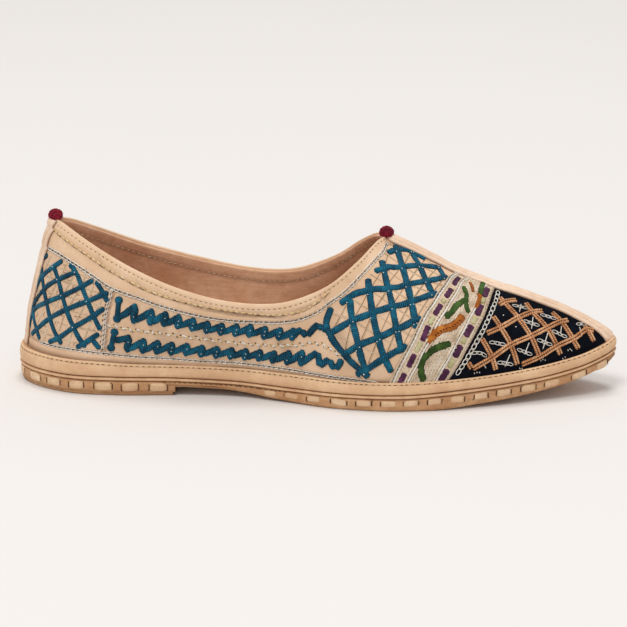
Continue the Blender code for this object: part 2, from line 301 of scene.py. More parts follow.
def line_spots(line):
    """Dense places along a smooth line through (x, z) marks."""
    marks = np.array([spot(*mark) for mark in line])
    return marks if len(marks) < 3 else smooth_path(marks, 12, square=False)


# Lines marked out on the upper, as (x, z) seen from the side.
FOLD_LINE = [(-121, 71), (-114, 68), (-104, 63.2), (-94.5, 58.3), (-85, 53.8), (-75.5, 50),
             (-66.5, 47.2), (-53, 44.3), (-39.5, 42), (-26.5, 40.2), (-13, 39.8), (-2, 42.5),
             (8, 50), (15, 57.5)]
COLLAR_LINE = [(-124, 61.5), (-112, 59.3), (-104, 56), (-96.5, 52.5), (-89.5, 48.8),
               (-75.5, 45), (-66.5, 42.5), (-57.5, 40.5), (-48.5, 38.7), (-39.5, 37.5),
               (-31, 36.7), (-22, 36.4), (-13, 36.6), (-4.5, 38.1), (4.5, 42.5), (8.5, 45.5),
               (15, 50.3), (21.5, 56.5), (26, 60.6), (30, 64), (33, 66.8)]
BOTTOM_LINE = [(-131.5, 19.5), (-123.5, 20), (-113, 20), (-103, 20), (-94, 19.4), (-76, 18.1),
               (-63, 17.5), (-49.5, 16.6), (-31.5, 16.1), (-22.5, 15.8), (-13, 15.4), (-4, 15),
               (5, 14.5), (14, 14), (22.5, 13.6), (31, 12.6)]
MIDDLE_LINE = [(-90.5, 32.6), (-84.5, 31.6), (-75.5, 30.5), (-66.5, 29.8), (-49, 27.7),
               (-26.5, 25.7), (-13.5, 25.6), (-4.5, 26.7), (2.5, 28.2), (7, 27.4), (11.5, 25.4),
               (15.5, 23.8)]
HEEL_SEAM = [(-88.5, 48.5), (-89.5, 43.5), (-91, 38), (-91.8, 30), (-92.8, 19.5)]
TRIM_BACK = [(66, 57), (61.5, 53.2), (56.5, 49.6), (53.3, 46), (50, 41.8), (47.2, 37),
             (45, 31.7), (42, 26.5), (39.2, 20.7), (36.3, 14.3), (34, 8)]
TRIM_FRONT = [(82, 50), (80, 46), (78.3, 42.8), (76.2, 38.4), (72.8, 32.8), (68.8, 26),
              (65.6, 20), (61.6, 13.6), (58, 8)]

fold_rows, collar_rows = rows_of(FOLD_LINE), rows_of(COLLAR_LINE)
bottom_rows = rows_of(BOTTOM_LINE)


def above(rows):
    """Signed distance on the leather above a lengthwise line, at every place."""
    at_line = sampled(skin_rise, np.column_stack([np.arange(COLUMNS + 1), rows]))
    return skin_rise - at_line[:, None]


def soft_step(value, width):
    """0 below, 1 above, and a soft edge of this width between."""
    t = np.clip(value / width + 0.5, 0, 1)
    return t * t * (3 - 2 * t)


def dip(distance, width):
    """1 on a line and nothing a little way off it."""
    return np.exp(-(distance / width) ** 2)


# Creases that wear has put into the leather: two ends as (x, z), depth and half width.
CREASES = [
    ((-52, 42.5), (-24, 38.4), 0.30, 0.7), ((-44, 41.8), (-12, 38.2), 0.26, 0.6),
    ((-36, 39.4), (-8, 38.6), 0.22, 0.6), ((-30, 41.6), (-18, 40.9), 0.20, 0.6),
    ((-8, 41.5), (4, 45.5), 0.25, 0.8), ((-62, 45.5), (-48, 42.6), 0.18, 0.7),
    ((-96, 63), (-92, 56), 0.16, 1.0), ((-78, 55), (-75, 49), 0.14, 1.0),
    ((2, 50), (9, 44.5), 0.2, 1.1), ((14, 57), (20, 52), 0.16, 1.1),
    ((-50, 35), (-40, 19), 0.18, 2.4), ((-16, 33), (-6, 17), 0.24, 2.4),
    ((-70, 38), (-62, 20), 0.16, 2.6), ((10, 40), (18, 20), 0.25, 3.0),
]


def crease_depth(ends, depth, width):
    """How far one crease sinks the leather at every place."""
    start, end = np.array(ends, float)
    place = skin[..., [0, 2]]
    share = np.clip(((place - start) @ (end - start)) / ((end - start) @ (end - start)), 0, 1)
    off = np.linalg.norm(place - start - share[..., None] * (end - start), axis=-1)
    return depth * dip(off, width) * np.sin(math.pi * np.clip(share, 0.08, 0.92)) ** 0.5


def leather_relief():
    """Height of the leather over the last, with its folds, grooves and creases, and its seams."""
    over_fold, over_collar, over_bottom = above(fold_rows), above(collar_rows), above(bottom_rows)
    below_top = skin_rise[:, -1:] - skin_rise
    x = skin[..., 0]
    behind = soft_step(12 - skin[:, -1:, 0], 16)
    has_fold = soft_step(4 - x, 18)
    has_collar = soft_step(36 - skin[:, -1:, 0], 6)
    lift = 0.35 * soft_step(over_fold, 0.9) * has_fold
    lift += 0.30 * soft_step(over_collar, 0.9) * has_collar
    middle = np.clip(over_fold / np.maximum(over_fold + below_top, 0.1), 0, 1)
    lift += 0.45 * np.sin(math.pi * middle) * (over_fold > 0) * has_fold
    band = np.clip(over_collar / np.maximum(over_collar - over_fold, 0.1), 0, 1)
    lift += 0.35 * np.sin(math.pi * band) * (over_fold < 0) * (over_collar > 0) * has_fold
    lift -= 0.25 * dip(below_top - 1.6, 0.5) * behind
    seam = 0.15 * dip(over_fold + 0.3, 0.4) * has_fold
    seam += 0.30 * dip(over_collar + 0.2, 0.7) * has_collar
    heel_x = np.interp(skin[..., 2], [p[1] for p in HEEL_SEAM[::-1]],
                       [p[0] for p in HEEL_SEAM[::-1]])
    on_heel = (over_collar < 1) * (over_bottom > -1)
    seam += 0.30 * dip(x - heel_x - 1.2, 0.5) * on_heel
    seam += 0.25 * dip(over_bottom, 0.6) * soft_step(34 - x, 6)
    creases = sum(crease_depth((a, b), depth, width) for a, b, depth, width in CREASES)
    wave = (0.16 * np.sin(x / 7.3 + skin[..., 2] / 5.1) + 0.12 * np.sin(x / 3.9 - 1.3)
            * np.sin(skin[..., 2] / 4.7 + 0.6))
    hem = np.clip(skin_rise / 6, 0, 1)
    return lift - seam - creases + wave * hem, seam, creases


relief, seam_depth, crease_mark = leather_relief()
skin = skin + skin_out * relief[..., None]
skin[:throat_column + 1, -1, 1] = 0
skin[[0, -1], :, 1] = 0


def on_skin(spots, lift=0.0):
    """Points on the finished leather and the way out from it, at (column, row) places."""
    out = sampled(skin_out, spots)
    out /= np.linalg.norm(out, axis=-1, keepdims=True)
    return sampled(skin, spots) + out * lift, out


def stitched(line, step=0.6, lift=0.0, start=0.0, end=1.0):
    """A line of (x, z) marks as evenly stepped points on the leather, with the way out."""
    dense = line_spots(line)
    if len(dense) < 24:
        dense = spread(dense, np.linspace(0, 1, 24))
    run = lengths(on_skin(dense)[0])
    count = max(3, int(run[-1] * (end - start) / step) + 1)
    places = np.linspace(start, end, count) * run[-1]
    spots = np.stack([np.interp(places, run, part) for part in dense.T], axis=-1)
    return on_skin(spots, lift)


# ---------------------------------------------------------------- making meshes

def new_piece():
    """An empty mesh whose points carry what the finish reads: run, offset and a shade."""
    mesh_data = bmesh.new()
    mesh_data.verts.layers.float_vector.new("marks")
    return mesh_data


def lay(mesh_data, points, marks=None):
    """A quad sheet through a table of points in millimetres."""
    rows, count = points.shape[:2]
    made = bmesh.ops.create_grid(mesh_data, x_segments=count - 1, y_segments=rows - 1, size=1)
    layer = mesh_data.verts.layers.float_vector["marks"]
    flat = (points * MM).reshape(-1, 3)
    notes = np.zeros_like(flat) if marks is None else marks.reshape(-1, 3)
    for vert, place, note in zip(made["verts"], flat, notes):
        vert.co = place
        vert[layer] = note
    return made["verts"]


def put(name, mesh_data, finish, slot, replaced=(), mirrored=True):
    """Mirrors a half piece, welds it, turns it outwards and puts it on the shoe."""
    if mirrored:
        bmesh.ops.remove_doubles(mesh_data, verts=mesh_data.verts, dist=WELD)
        inside = [f for f in mesh_data.faces if all(abs(v.co.y) < WELD for v in f.verts)]
        bmesh.ops.delete(mesh_data, geom=inside, context="FACES")
        everything = mesh_data.verts[:] + mesh_data.edges[:] + mesh_data.faces[:]
        bmesh.ops.mirror(mesh_data, geom=everything, axis="Y", merge_dist=WELD)
    bmesh.ops.remove_doubles(mesh_data, verts=mesh_data.verts, dist=WELD)
    bmesh.ops.dissolve_degenerate(mesh_data, edges=mesh_data.edges, dist=WELD)
    loose = [v for v in mesh_data.verts if not v.link_faces]
    bmesh.ops.delete(mesh_data, geom=loose, context="VERTS")
    bmesh.ops.recalc_face_normals(mesh_data, faces=mesh_data.faces)
    for face in mesh_data.faces:
        face.smooth = True
    mesh = bpy.data.meshes.new(name)
    mesh_data.to_mesh(mesh)
    mesh_data.free()
    mesh.materials.append(finish)
    obj = bpy.data.objects.new(name, mesh)
    bpy.context.scene.collection.objects.link(obj)
    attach(obj, "root")
    if replaced:
        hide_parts(*replaced)
    return obj


chance = random.Random(11)

# How far apart the links of a chain start, as a share of one link's length.
LINK_PITCH = 0.86


def cord(mesh_data, path, width, height, sides=8, ragged=0.0, tips=(None, None), sink=0.12,
         shade=None):
    """A flat-bottomed thread or strap along (points, out), rounded off at both ends."""
    points, out = path
    along = np.gradient(points, axis=0)
    along /= np.linalg.norm(along, axis=1, keepdims=True) + 1e-12
    side = np.cross(out, along)
    side /= np.linalg.norm(side, axis=1, keepdims=True) + 1e-12
    run = lengths(points)
    half = np.broadcast_to(width, len(points)) / 2
    start, end = (half.max() if tip is None else tip for tip in tips)
    near = np.minimum(run / start, (run[-1] - run) / end).clip(0, 1)
    closing = np.sqrt(1 - (1 - near) ** 2)
    turns = np.linspace(0, 2 * math.pi, sides + 1)
    rag = np.array([[1 + ragged * chance.uniform(-1, 1) for _ in (0, 1)] for _ in points])
    reach = np.where(np.cos(turns) > 0, rag[:, :1], rag[:, 1:]) * np.cos(turns)
    across = (half * closing)[:, None] * reach
    lift = (height * closing ** 0.6)[:, None] * np.maximum(np.sin(turns), -sink / height)
    ring = points[:, None] + side[:, None] * across[..., None] + out[:, None] * lift[..., None]
    tone = chance.random() if shade is None else shade
    # Painted shade darkens each thread's foot, where it meets what it lies on: threads under 0.9 mm
    # wide have none, and those over 2 mm have the whole of it.
    fall = 0.95 * min(max((2 * half.max() - 0.9) / 1.1, 0.0), 1.0)
    foot = np.broadcast_to(tone - fall * np.abs(np.cos(turns)) ** 6, across.shape)
    marks = np.stack([np.broadcast_to(run[:, None], across.shape), across, foot], axis=-1)
    ring[:, -1] = ring[:, 0]
    lay(mesh_data, ring, marks)


def piece_of(path, start, end):
    """Part of a path, between two distances run along it."""
    points, out = path
    run = lengths(points)
    count = max(4, int((end - start) / 0.5) + 1)
    places = np.linspace(max(start, 0), min(end, run[-1]), count)
    return tuple(np.stack([np.interp(places, run, part) for part in table.T], axis=-1)
                 for table in (points, out))


def shifted(path, aside, up=0.0):
    """A path moved sideways and off the surface. aside may differ along it."""
    points, out = path
    along = np.gradient(points, axis=0)
    side = np.cross(out, along)
    side /= np.linalg.norm(side, axis=1, keepdims=True) + 1e-12
    return points + side * np.reshape(aside, (-1, 1)) + out * up, out


def stitches(mesh_data, path, pitch, length, width, height=0.3, aside=0.0, lean=0.0, phase=0.0,
             sides=6, jitter=0.12):
    """Short separate stitches along a path. lean turns each one across the line, in mm."""
    run = lengths(path[0])[-1]
    place = phase * pitch
    while place + length < run:
        here = place + jitter * chance.uniform(-1, 1)
        part = piece_of(path, here, here + length * (1 + jitter * chance.uniform(-1, 1)))
        shift = aside + lean * np.linspace(-0.5, 0.5, len(part[0]))
        cord(mesh_data, shifted(part, shift), width, height, sides=sides)
        place += pitch


def link(mesh_data, centre, along, out, length, width, thread):
    """One open oval loop of thread lying on the surface."""
    side = np.cross(out, along)
    side /= np.linalg.norm(side)
    along = np.cross(side, out)
    around = np.linspace(0, 2 * math.pi, 11)[:, None, None]
    about = np.linspace(0, 2 * math.pi, 6)[None, :, None]
    spread_out = 1 - thread / 2 * np.cos(about) / (width / 2)
    ring = (centre
            + along * (np.cos(around) * (length / 2) * (1 - (1 - spread_out) * width / length))
            + side * (np.sin(around) * (width / 2) * spread_out)
            + out * (thread / 2 * np.sin(about) + thread * 0.3))
    ring[-1], ring[:, -1] = ring[0], ring[:, 0]
    marks = np.zeros_like(ring)
    marks[..., 0] = around[..., 0] * length / 3
    marks[..., 2] = chance.random()
    lay(mesh_data, ring, marks)


def chain(mesh_data, path, length, width, thread, pitch=None):
    """A row of loops, each starting inside the last one."""
    points, out = path
    run = lengths(points)
    pitch = pitch or length * LINK_PITCH
    for place in np.arange(length / 2, run[-1] - length * 0.3, pitch):
        centre, ahead, up = (
            np.array([np.interp(at, run, part) for part in table.T])
            for at, table in ((place, points), (place + 0.3, points), (place, out))
        )
        twist = np.cross(up, ahead - centre)
        along = (ahead - centre) + twist * chance.uniform(-0.12, 0.12)
        along /= np.linalg.norm(along)
        size = 1 + 0.1 * chance.uniform(-1, 1)
        link(mesh_data, centre, along, up, length * size, width * size, thread)


def knot(mesh_data, centre, out, radius):
    """A tiny round knot of thread."""
    centre = np.array(centre) + np.array(out) * radius * 0.6
    made = bmesh.ops.create_icosphere(mesh_data, subdivisions=1, radius=radius * MM)
    bmesh.ops.translate(mesh_data, verts=made["verts"], vec=Vector(centre * MM))


# ---------------------------------------------------------------- finishes

def linear(code):
    """A hex colour turned into the linear values that a shader takes."""
    parts = [int(code[k:k + 2], 16) / 255 for k in (1, 3, 5)]
    return (*((p / 12.92) if p <= 0.04045 else ((p + 0.055) / 1.055) ** 2.4 for p in parts), 1)


def add(tree, kind, inputs=None, **settings):
    """Adds a node with its settings, and its inputs as values or as links from sockets."""
    made = tree.nodes.new(kind)
    for name, value in settings.items():
        setattr(made, name, value)
    for name, value in (inputs or {}).items():
        if isinstance(value, bpy.types.NodeSocket):
            tree.links.new(value, made.inputs[name])
        else:
            made.inputs[name].default_value = value
    return made


def start_finish(name):
    """A new material, its tree, and its surface shader."""
    made = bpy.data.materials.new(name)
    made.use_nodes = True
    tree = made.node_tree
    return made, tree, tree.nodes["Principled BSDF"]


def mixed(tree, share, first, second, kind="MIX"):
    """Two colours mixed by a share. Each is a hex code or a socket."""
    first, second = (linear(c) if isinstance(c, str) else c for c in (first, second))
    made = add(tree, "ShaderNodeMix", {0: share, 6: first, 7: second},
               data_type="RGBA", blend_type=kind)
    return made.outputs[2]


def ranged(tree, value, low, high, new_low=0.0, new_high=1.0):
    """A value stretched from one range to another and held there."""
    made = add(tree, "ShaderNodeMapRange", {
        "Value": value, "From Min": low, "From Max": high, "To Min": new_low, "To Max": new_high,
    })
    return made.outputs["Result"]


def leather(name, pale, middle, dark, painted_shade_colour, roughness=0.62, grain=0.10, streak=0.0,
            mottle=1.0):
    """Vegetable-tanned leather: matt, with fine pores and soft mottling.

    marks.z is 0.5 on open leather. Lower, it turns to the painted shade colour: painted shade in
    seams, grooves, creases and where one part meets another, and a little over the upper's
    embroidered panel, whose leather is darker. Higher, it turns pale: a painted highlight on ridges
    and rolled tops, and the upper's rubbed top edge.
    """
    made, tree, surface = start_finish(name)
    place = add(tree, "ShaderNodeTexCoord").outputs["Object"]
    marks = add(tree, "ShaderNodeAttribute", attribute_name="marks").outputs["Vector"]
    shade = add(tree, "ShaderNodeSeparateXYZ", {0: marks}).outputs["Z"]
    # Clouds about 14 mm across, as a hide takes its dye unevenly.
    cloud = add(tree, "ShaderNodeTexNoise", {"Vector": place, "Scale": 70.0, "Detail": 3.0})
    # Blotches about 4 mm across.
    blotch = add(tree, "ShaderNodeTexNoise", {"Vector": place, "Scale": 260.0, "Detail": 4.0,
                                              "Roughness": 0.65})
    # Pores about 0.7 mm apart, a little coarser than real ones so that they show.
    pores = add(tree, "ShaderNodeTexVoronoi", {"Vector": place, "Scale": 1400.0})
    fine = add(tree, "ShaderNodeTexNoise", {"Vector": place, "Scale": 2600.0, "Detail": 2.0})
    cloud_share = ranged(tree, cloud.outputs["Fac"], 0.34, 0.68)
    blotch_share = ranged(tree, blotch.outputs["Fac"], 0.42, 0.72, 0.0, 0.55 * mottle)
    colour = mixed(tree, cloud_share, middle, pale)
    colour = mixed(tree, blotch_share, colour, dark)
    fleck = ranged(tree, fine.outputs["Fac"], 0.35, 0.65, 0.0, 0.16)
    colour = mixed(tree, fleck, colour, dark)
    if streak:
        # Fibres drawn out along the shoe, about 1 mm apart.
        stretched = add(tree, "ShaderNodeMapping", {"Vector": place, "Scale": (0.12, 1.0, 1.0)})
        fibres = add(tree, "ShaderNodeTexNoise", {"Vector": stretched.outputs[0],
                                                  "Scale": 900.0, "Detail": 3.0})
        colour = mixed(tree, ranged(tree, fibres.outputs["Fac"], 0.45, 0.7, 0.0, streak),
                       colour, dark)
    # Above 0.5 the leather turns pale: painted highlight, and the upper's rubbed top edge.
    colour = mixed(tree, ranged(tree, shade, 0.5, 1.0, 0.0, 0.8), colour, pale)
    # Below 0.48 it turns to the painted shade colour: painted shade in seams, grooves, creases and
    # joins.
    colour = mixed(tree, ranged(tree, shade, 0.0, 0.48, 0.85, 0.0), colour, painted_shade_colour)
    height = add(tree, "ShaderNodeMath", {0: pores.outputs["Distance"],
                                          1: blotch.outputs["Fac"]}, operation="ADD")
    bump = add(tree, "ShaderNodeBump", {"Strength": 0.55, "Distance": grain * MM,
                                        "Height": height.outputs[0]})
    links = tree.links
    links.new(colour, surface.inputs["Base Color"])
    links.new(bump.outputs[0], surface.inputs["Normal"])
    links.new(ranged(tree, blotch.outputs["Fac"], 0.3, 0.7, roughness - 0.08, roughness + 0.1),
              surface.inputs["Roughness"])
    surface.inputs["IOR"].default_value = 1.5
    surface.inputs["Specular IOR Level"].default_value = 0.32
    return made


def thread(name, light, middle, dark, strand=0.5, slant=0.6, depth=0.12, roughness=0.55,
           sheen=0.04, weight=0.7):
    """Twisted or satin-laid thread: fine slanted strands with a soft shine along them.

    marks holds the run along the thread, the place across it, and a random tone of its own that
    painted shade darkens where the thread meets what it lies on.
    """
    made, tree, surface = start_finish(name)
    place = add(tree, "ShaderNodeTexCoord").outputs["Object"]
    marks = add(tree, "ShaderNodeAttribute", attribute_name="marks").outputs["Vector"]
    parts = add(tree, "ShaderNodeSeparateXYZ", {0: marks})
    aside = add(tree, "ShaderNodeMath", {0: parts.outputs["Y"], 1: slant}, operation="MULTIPLY")
    run = add(tree, "ShaderNodeMath", {0: parts.outputs["X"], 1: aside.outputs[0]},
              operation="ADD")
    wander = add(tree, "ShaderNodeTexNoise", {"Vector": place, "Scale": 900.0, "Detail": 2.0})
    run = add(tree, "ShaderNodeMath", {0: wander.outputs["Fac"], 1: strand * 0.9,
                                       2: run.outputs[0]}, operation="MULTIPLY_ADD")
    turn = add(tree, "ShaderNodeMath", {0: run.outputs[0], 1: 2 * math.pi / strand},
               operation="MULTIPLY")
    strands = add(tree, "ShaderNodeMath", {0: turn.outputs[0]}, operation="SINE").outputs[0]
    # Lighter and darker patches about 5 mm long, where the thread lies looser or tighter.
    patch = add(tree, "ShaderNodeTexNoise", {"Vector": place, "Scale": 240.0, "Detail": 3.0})
    colour = mixed(tree, ranged(tree, strands, -1.0, 0.4, weight, 0.0), middle, dark)
    colour = mixed(tree, ranged(tree, strands, 0.35, 1.0, 0.0, weight * 0.75), colour, light)
    colour = mixed(tree, ranged(tree, patch.outputs["Fac"], 0.5, 0.72, 0.0, 0.6), colour, light)
    colour = mixed(tree, ranged(tree, patch.outputs["Fac"], 0.5, 0.3, 0.0, 0.6), colour, dark)
    # Low marks.z darkens the thread: its random tone, and painted shade at its foot.
    colour = mixed(tree, ranged(tree, parts.outputs["Z"], 0.4, -0.6, 0.0, 0.95), colour, dark)
    bump = add(tree, "ShaderNodeBump", {"Strength": 0.7, "Distance": depth * MM,
                                        "Height": strands})
    tree.links.new(colour, surface.inputs["Base Color"])
    tree.links.new(bump.outputs[0], surface.inputs["Normal"])
    surface.inputs["Roughness"].default_value = roughness
    surface.inputs["IOR"].default_value = 1.5
    surface.inputs["Specular IOR Level"].default_value = 0.12
    surface.inputs["Sheen Weight"].default_value = sheen
    surface.inputs["Sheen Roughness"].default_value = 0.5
    return made


def woven(name, light, middle, dark, pitch=0.7, roughness=0.8, depth=0.08, sheen=0.2):
    """Plain-woven cloth: over-and-under threads about a pitch apart, with uneven dye."""
    made, tree, surface = start_finish(name)
    place = add(tree, "ShaderNodeTexCoord").outputs["Object"]
    turned = add(tree, "ShaderNodeMapping", {"Vector": place, "Rotation": (0.0, 0.7, 0.0),
                                             "Scale": (1 / (pitch * MM),) * 3})
    parts = add(tree, "ShaderNodeSeparateXYZ", {0: turned.outputs[0]})
    waves = []
    for part in ("X", "Z"):
        turn = add(tree, "ShaderNodeMath", {0: parts.outputs[part], 1: 2 * math.pi},
                   operation="MULTIPLY")
        waves.append(add(tree, "ShaderNodeMath", {0: turn.outputs[0]}, operation="SINE"))
    weave = add(tree, "ShaderNodeMath", {0: waves[0].outputs[0], 1: waves[1].outputs[0]},
                operation="MULTIPLY").outputs[0]
    cloud = add(tree, "ShaderNodeTexNoise", {"Vector": place, "Scale": 160.0, "Detail": 4.0})
    colour = mixed(tree, ranged(tree, weave, -1.0, 0.2, 0.6, 0.0), middle, dark)
    colour = mixed(tree, ranged(tree, weave, 0.2, 1.0, 0.0, 0.5), colour, light)
    colour = mixed(tree, ranged(tree, cloud.outputs["Fac"], 0.45, 0.75, 0.0, 0.55), colour, light)
    bump = add(tree, "ShaderNodeBump", {"Strength": 0.6, "Distance": depth * MM, "Height": weave})
    tree.links.new(colour, surface.inputs["Base Color"])
    tree.links.new(bump.outputs[0], surface.inputs["Normal"])
    surface.inputs["Roughness"].default_value = roughness
    surface.inputs["Specular IOR Level"].default_value = 0.06
    surface.inputs["Sheen Weight"].default_value = sheen
    return made


def plain_paper():
    """Seamless backdrop paper: matt and pale, with nothing on it to see."""
    made, tree, surface = start_finish("backdrop_paper")
    place = add(tree, "ShaderNodeTexCoord").outputs["Object"]
    cloud = add(tree, "ShaderNodeTexNoise", {"Vector": place, "Scale": 2.0})
    tree.links.new(mixed(tree, cloud.outputs["Fac"], "#e5e2e0", "#e8e5e3"),
                   surface.inputs["Base Color"])
    surface.inputs["Roughness"].default_value = 0.95
    surface.inputs["Specular IOR Level"].default_value = 0.05
    return made


upper_finish = leather("tan_goat_leather", "#ebcbac", "#e0bc99", "#c9a07c", "#6f4a32",
                       mottle=0.45)
rand_finish = leather("rolled_rand_leather", "#ecc79f", "#dbb189", "#bd906a", "#6b4228",
                      streak=0.2, mottle=0.5)
sole_finish = leather("stacked_sole_leather", "#d6ab81", "#c49368", "#9c6a40", "#3f2415",
                      roughness=0.7, streak=0.4, grain=0.16, mottle=0.7)
lace_finish = leather("sole_lace_leather", "#f0d2ae", "#d9b18b", "#b3855c", "#4a2b1b",
                      streak=0.3, mottle=0.6)
welt_finish = leather("welt_leather", "#e8c39b", "#d3a780", "#b08058", "#4a2919")
strip_finish = leather("strip_leather", "#f6dcc4", "#e8c7aa", "#cba487", "#6a3d26",
                       roughness=0.5, mottle=0.6, streak=0.35)
lining_finish = leather("suede_lining", "#eec5a3", "#dcab88", "#bb8663", "#6b3f28",
                        roughness=0.85, grain=0.14, streak=0.3, mottle=0.7)
insole_finish = leather("insole_leather", "#cf9e78", "#b98660", "#94653f", "#5a3522",
                        roughness=0.8, streak=0.2)
teal_finish = thread("teal_wool_thread", "#197894", "#094e69", "#032536", strand=1.05,
                     depth=0.14, weight=0.7)
white_finish = thread("white_cotton_thread", "#ffffff", "#fbf6ec", "#d6cbb8", strand=0.45,
                      weight=0.4)
gold_finish = thread("straw_cotton_thread", "#fff0cf", "#f8dba2", "#d3a468", strand=0.5,
                     weight=0.4)
brown_finish = thread("brown_waxed_thread", "#6f4730", "#4a2d1c", "#26150d", strand=0.5)
ink_finish = thread("ink_cotton_thread", "#38475c", "#1d2735", "#0b1019", strand=0.5)
beige_finish = thread("beige_cotton_thread", "#fbf0da", "#ead2b2", "#c4a47e", strand=0.5)
taupe_finish = thread("taupe_cotton_thread", "#c6ab8b", "#a3845f", "#7a5c3d", strand=0.5)
copper_finish = thread("copper_cotton_thread", "#f3c59a", "#d99a6a", "#8a4f29", strand=1.1)
purple_finish = thread("plum_silk_thread", "#7d4a70", "#54284a", "#2e1024", strand=0.5)
lime_finish = thread("lime_silk_thread", "#ebe6bd", "#d3cb9b", "#a79f6c", strand=0.5)
green_finish = thread("leaf_silk_thread", "#64863a", "#3b5a22", "#1c3010", strand=0.55,
                      weight=0.85)
orange_finish = thread("orange_silk_thread", "#e2953f", "#bb661d", "#7a3a0e", strand=0.55,
                       weight=0.85)
rust_finish = thread("rust_silk_thread", "#8c3418", "#66200e", "#3b1108", strand=0.5)
cream_finish = thread("cream_cotton_thread", "#fff5e6", "#f5e3cb", "#bb9f7f", strand=0.6,
                      weight=0.5)
lilac_finish = thread("lilac_shade_dash_thread", "#cdb6be", "#a58a94", "#6f5a62", strand=0.6)
yarn_finish = thread("crimson_wool_yarn", "#cf2c4a", "#991a32", "#520f1f", strand=0.5,
                     sheen=0.08)
toe_finish = woven("black_cotton_sateen", "#151b29", "#080b12", "#030408", pitch=0.9, sheen=0.0)
trim_finish = woven("cream_cotton_twill", "#eedac2", "#dac2a5", "#a98c70", pitch=1.0, sheen=0.05)


# ---------------------------------------------------------------- upper and lining

base_skin = skin - skin_out * relief[..., None]
base_skin[:throat_column + 1, -1, 1] = 0
base_skin[[0, -1], :, 1] = 0
OUTER_LEATHER = 0.9

# How far the rows of stitches run under the collar's edge, inside and outside.
LINING_STITCH_DEPTH = 5.2
COLLAR_STITCH_DEPTH = 1.6


def inside_face(depth, columns, rows):
    """The last's outer face moved inwards, kept on its own side of the middle."""
    inner = base_skin[columns][:, rows] - depth * skin_out[columns][:, rows]
    inner[..., 1] = np.maximum(inner[..., 1], 0)
    ahead = np.asarray(columns) <= throat_column
    inner[ahead, -1, 1] = 0
    inner[np.isin(columns, (0, COLUMNS)), :, 1] = 0
    return inner


def edge_round(first, last, rise, ahead, steps=5):
    """A rolled edge from one face's top to the other's. In front of the throat there is none."""
    turn = np.linspace(0, math.pi, steps + 2)[1:-1]
    middle, half = (first + last) / 2, (first - last) / 2
    high = np.linalg.norm(half, axis=1)[:, None, None] * np.where(ahead, 0, 1)[:, None, None]
    return (middle[:, None] + half[:, None] * np.cos(turn)[None, :, None]
            + rise[:, None] * high * np.sin(turn)[None, :, None])


def upper():
    """Vamp, quarters and counter in one pale leather, folded over at the collar."""
    columns = np.arange(COLUMNS + 1)
    ahead = columns <= throat_column
    inner = inside_face(OUTER_LEATHER, columns, np.arange(0, ROWS + 1, 8))
    rise = skin_slope[1][:, -1] / np.linalg.norm(skin_slope[1][:, -1], axis=1, keepdims=True)
    rim = edge_round(skin[:, -1], inner[:, -1], rise, ahead)
    rim[ahead, :, 1] = 0
    ring = np.concatenate([skin, rim, inner[:, ::-1], skin[:, :1]], axis=1)
    below_top = skin_rise[:, -1:] - skin_rise
    rubbed = 0.30 * dip(below_top, 0.9) * (columns > throat_column)[:, None]
    # Painted shade in the seam grooves and creases; the rubbed top edge paler.
    shade = np.clip(0.5 - 1.1 * seam_depth - 0.7 * crease_mark + rubbed, 0, 1)
    panel = soft_step(-above(collar_rows), 0.8) * soft_step(above(bottom_rows), 0.8)
    shade = shade - 0.07 * panel * soft_step(40 - skin[..., 0], 20)
    # Painted shade on the leather just above the rand's top, where the rand meets it.
    low = 0.25 * dip(skin_rise - above_rand_rise(), 1.6)
    shade = np.clip(shade - low, 0, 1)
    marks = np.zeros_like(ring)
    marks[..., 2] = 0.5
    marks[:, :ROWS + 1, 0], marks[:, :ROWS + 1, 1] = skin_run, skin_rise
    marks[:, :ROWS + 1, 2] = shade
    mesh_data = new_piece()
    lay(mesh_data, ring, marks)
    return put("upper_leather", mesh_data, upper_finish, "upper_leather", ["upper"])


def above_rand_rise():
    """How far up the leather the rand reaches, at each column."""
    heights = skin[..., 2]
    level = RAND_TOP(skin[:, 0, 0])
    return np.array([np.interp(z, h, r) for z, h, r in zip(level, heights, skin_rise)])[:, None]


def lining():
    """Brown suede inside the shoe, a little short of the folded collar."""
    start = int(np.argmax(skin[:, 0, 0] < CAVITY_TIP_X))
    columns = np.unique(np.append(np.arange(start, COLUMNS, 2), COLUMNS))
    rows = np.arange(0, ROWS + 1, 3)
    ahead = columns <= throat_column
    rim_steps = 3
    back = inside_face(OUTER_LEATHER + 0.05, columns, rows)
    front = inside_face(WALL, columns, rows)
    rise = np.diff(back[:, -2:], axis=1)[:, 0]
    rise /= np.linalg.norm(rise, axis=1, keepdims=True)
    for face in (back, front):
        face[~ahead, -1] -= rise[~ahead] * 0.7
    rim = edge_round(back[:, -1], front[:, -1], rise, ahead, rim_steps)
    rim[ahead, :, 1] = 0
    ring = np.concatenate([back, rim, front[:, ::-1], back[:, :1]], axis=1)
    marks = np.zeros_like(ring)
    marks[..., 2] = 0.5
    below = (skin_rise[:, -1:] - skin_rise)[columns][:, rows[::-1]]
    # Paler just under the rim, and painted shade in the groove of the stitch line 5 mm down.
    rim_pale_and_stitch_shade = 0.15 * dip(below, 1.5) - 0.3 * dip(below - LINING_STITCH_DEPTH, 1.2)
    marks[:, len(rows) + rim_steps:-1, 2] = 0.5 + rim_pale_and_stitch_shade
    mesh_data = new_piece()
    lay(mesh_data, ring, marks)
    bmesh.ops.remove_doubles(mesh_data, verts=mesh_data.verts, dist=WELD)
    return put("suede_lining", mesh_data, lining_finish, "lining_leather")


# ---------------------------------------------------------------- sole, rand and insole

def edge_line(inset, height, front=TOE_X, count=COLUMNS):
    """Half the sole's edge at an inset, at its heights."""
    ring = outline(inset, front, count)
    return np.column_stack([ring, height(ring[:, 0])])


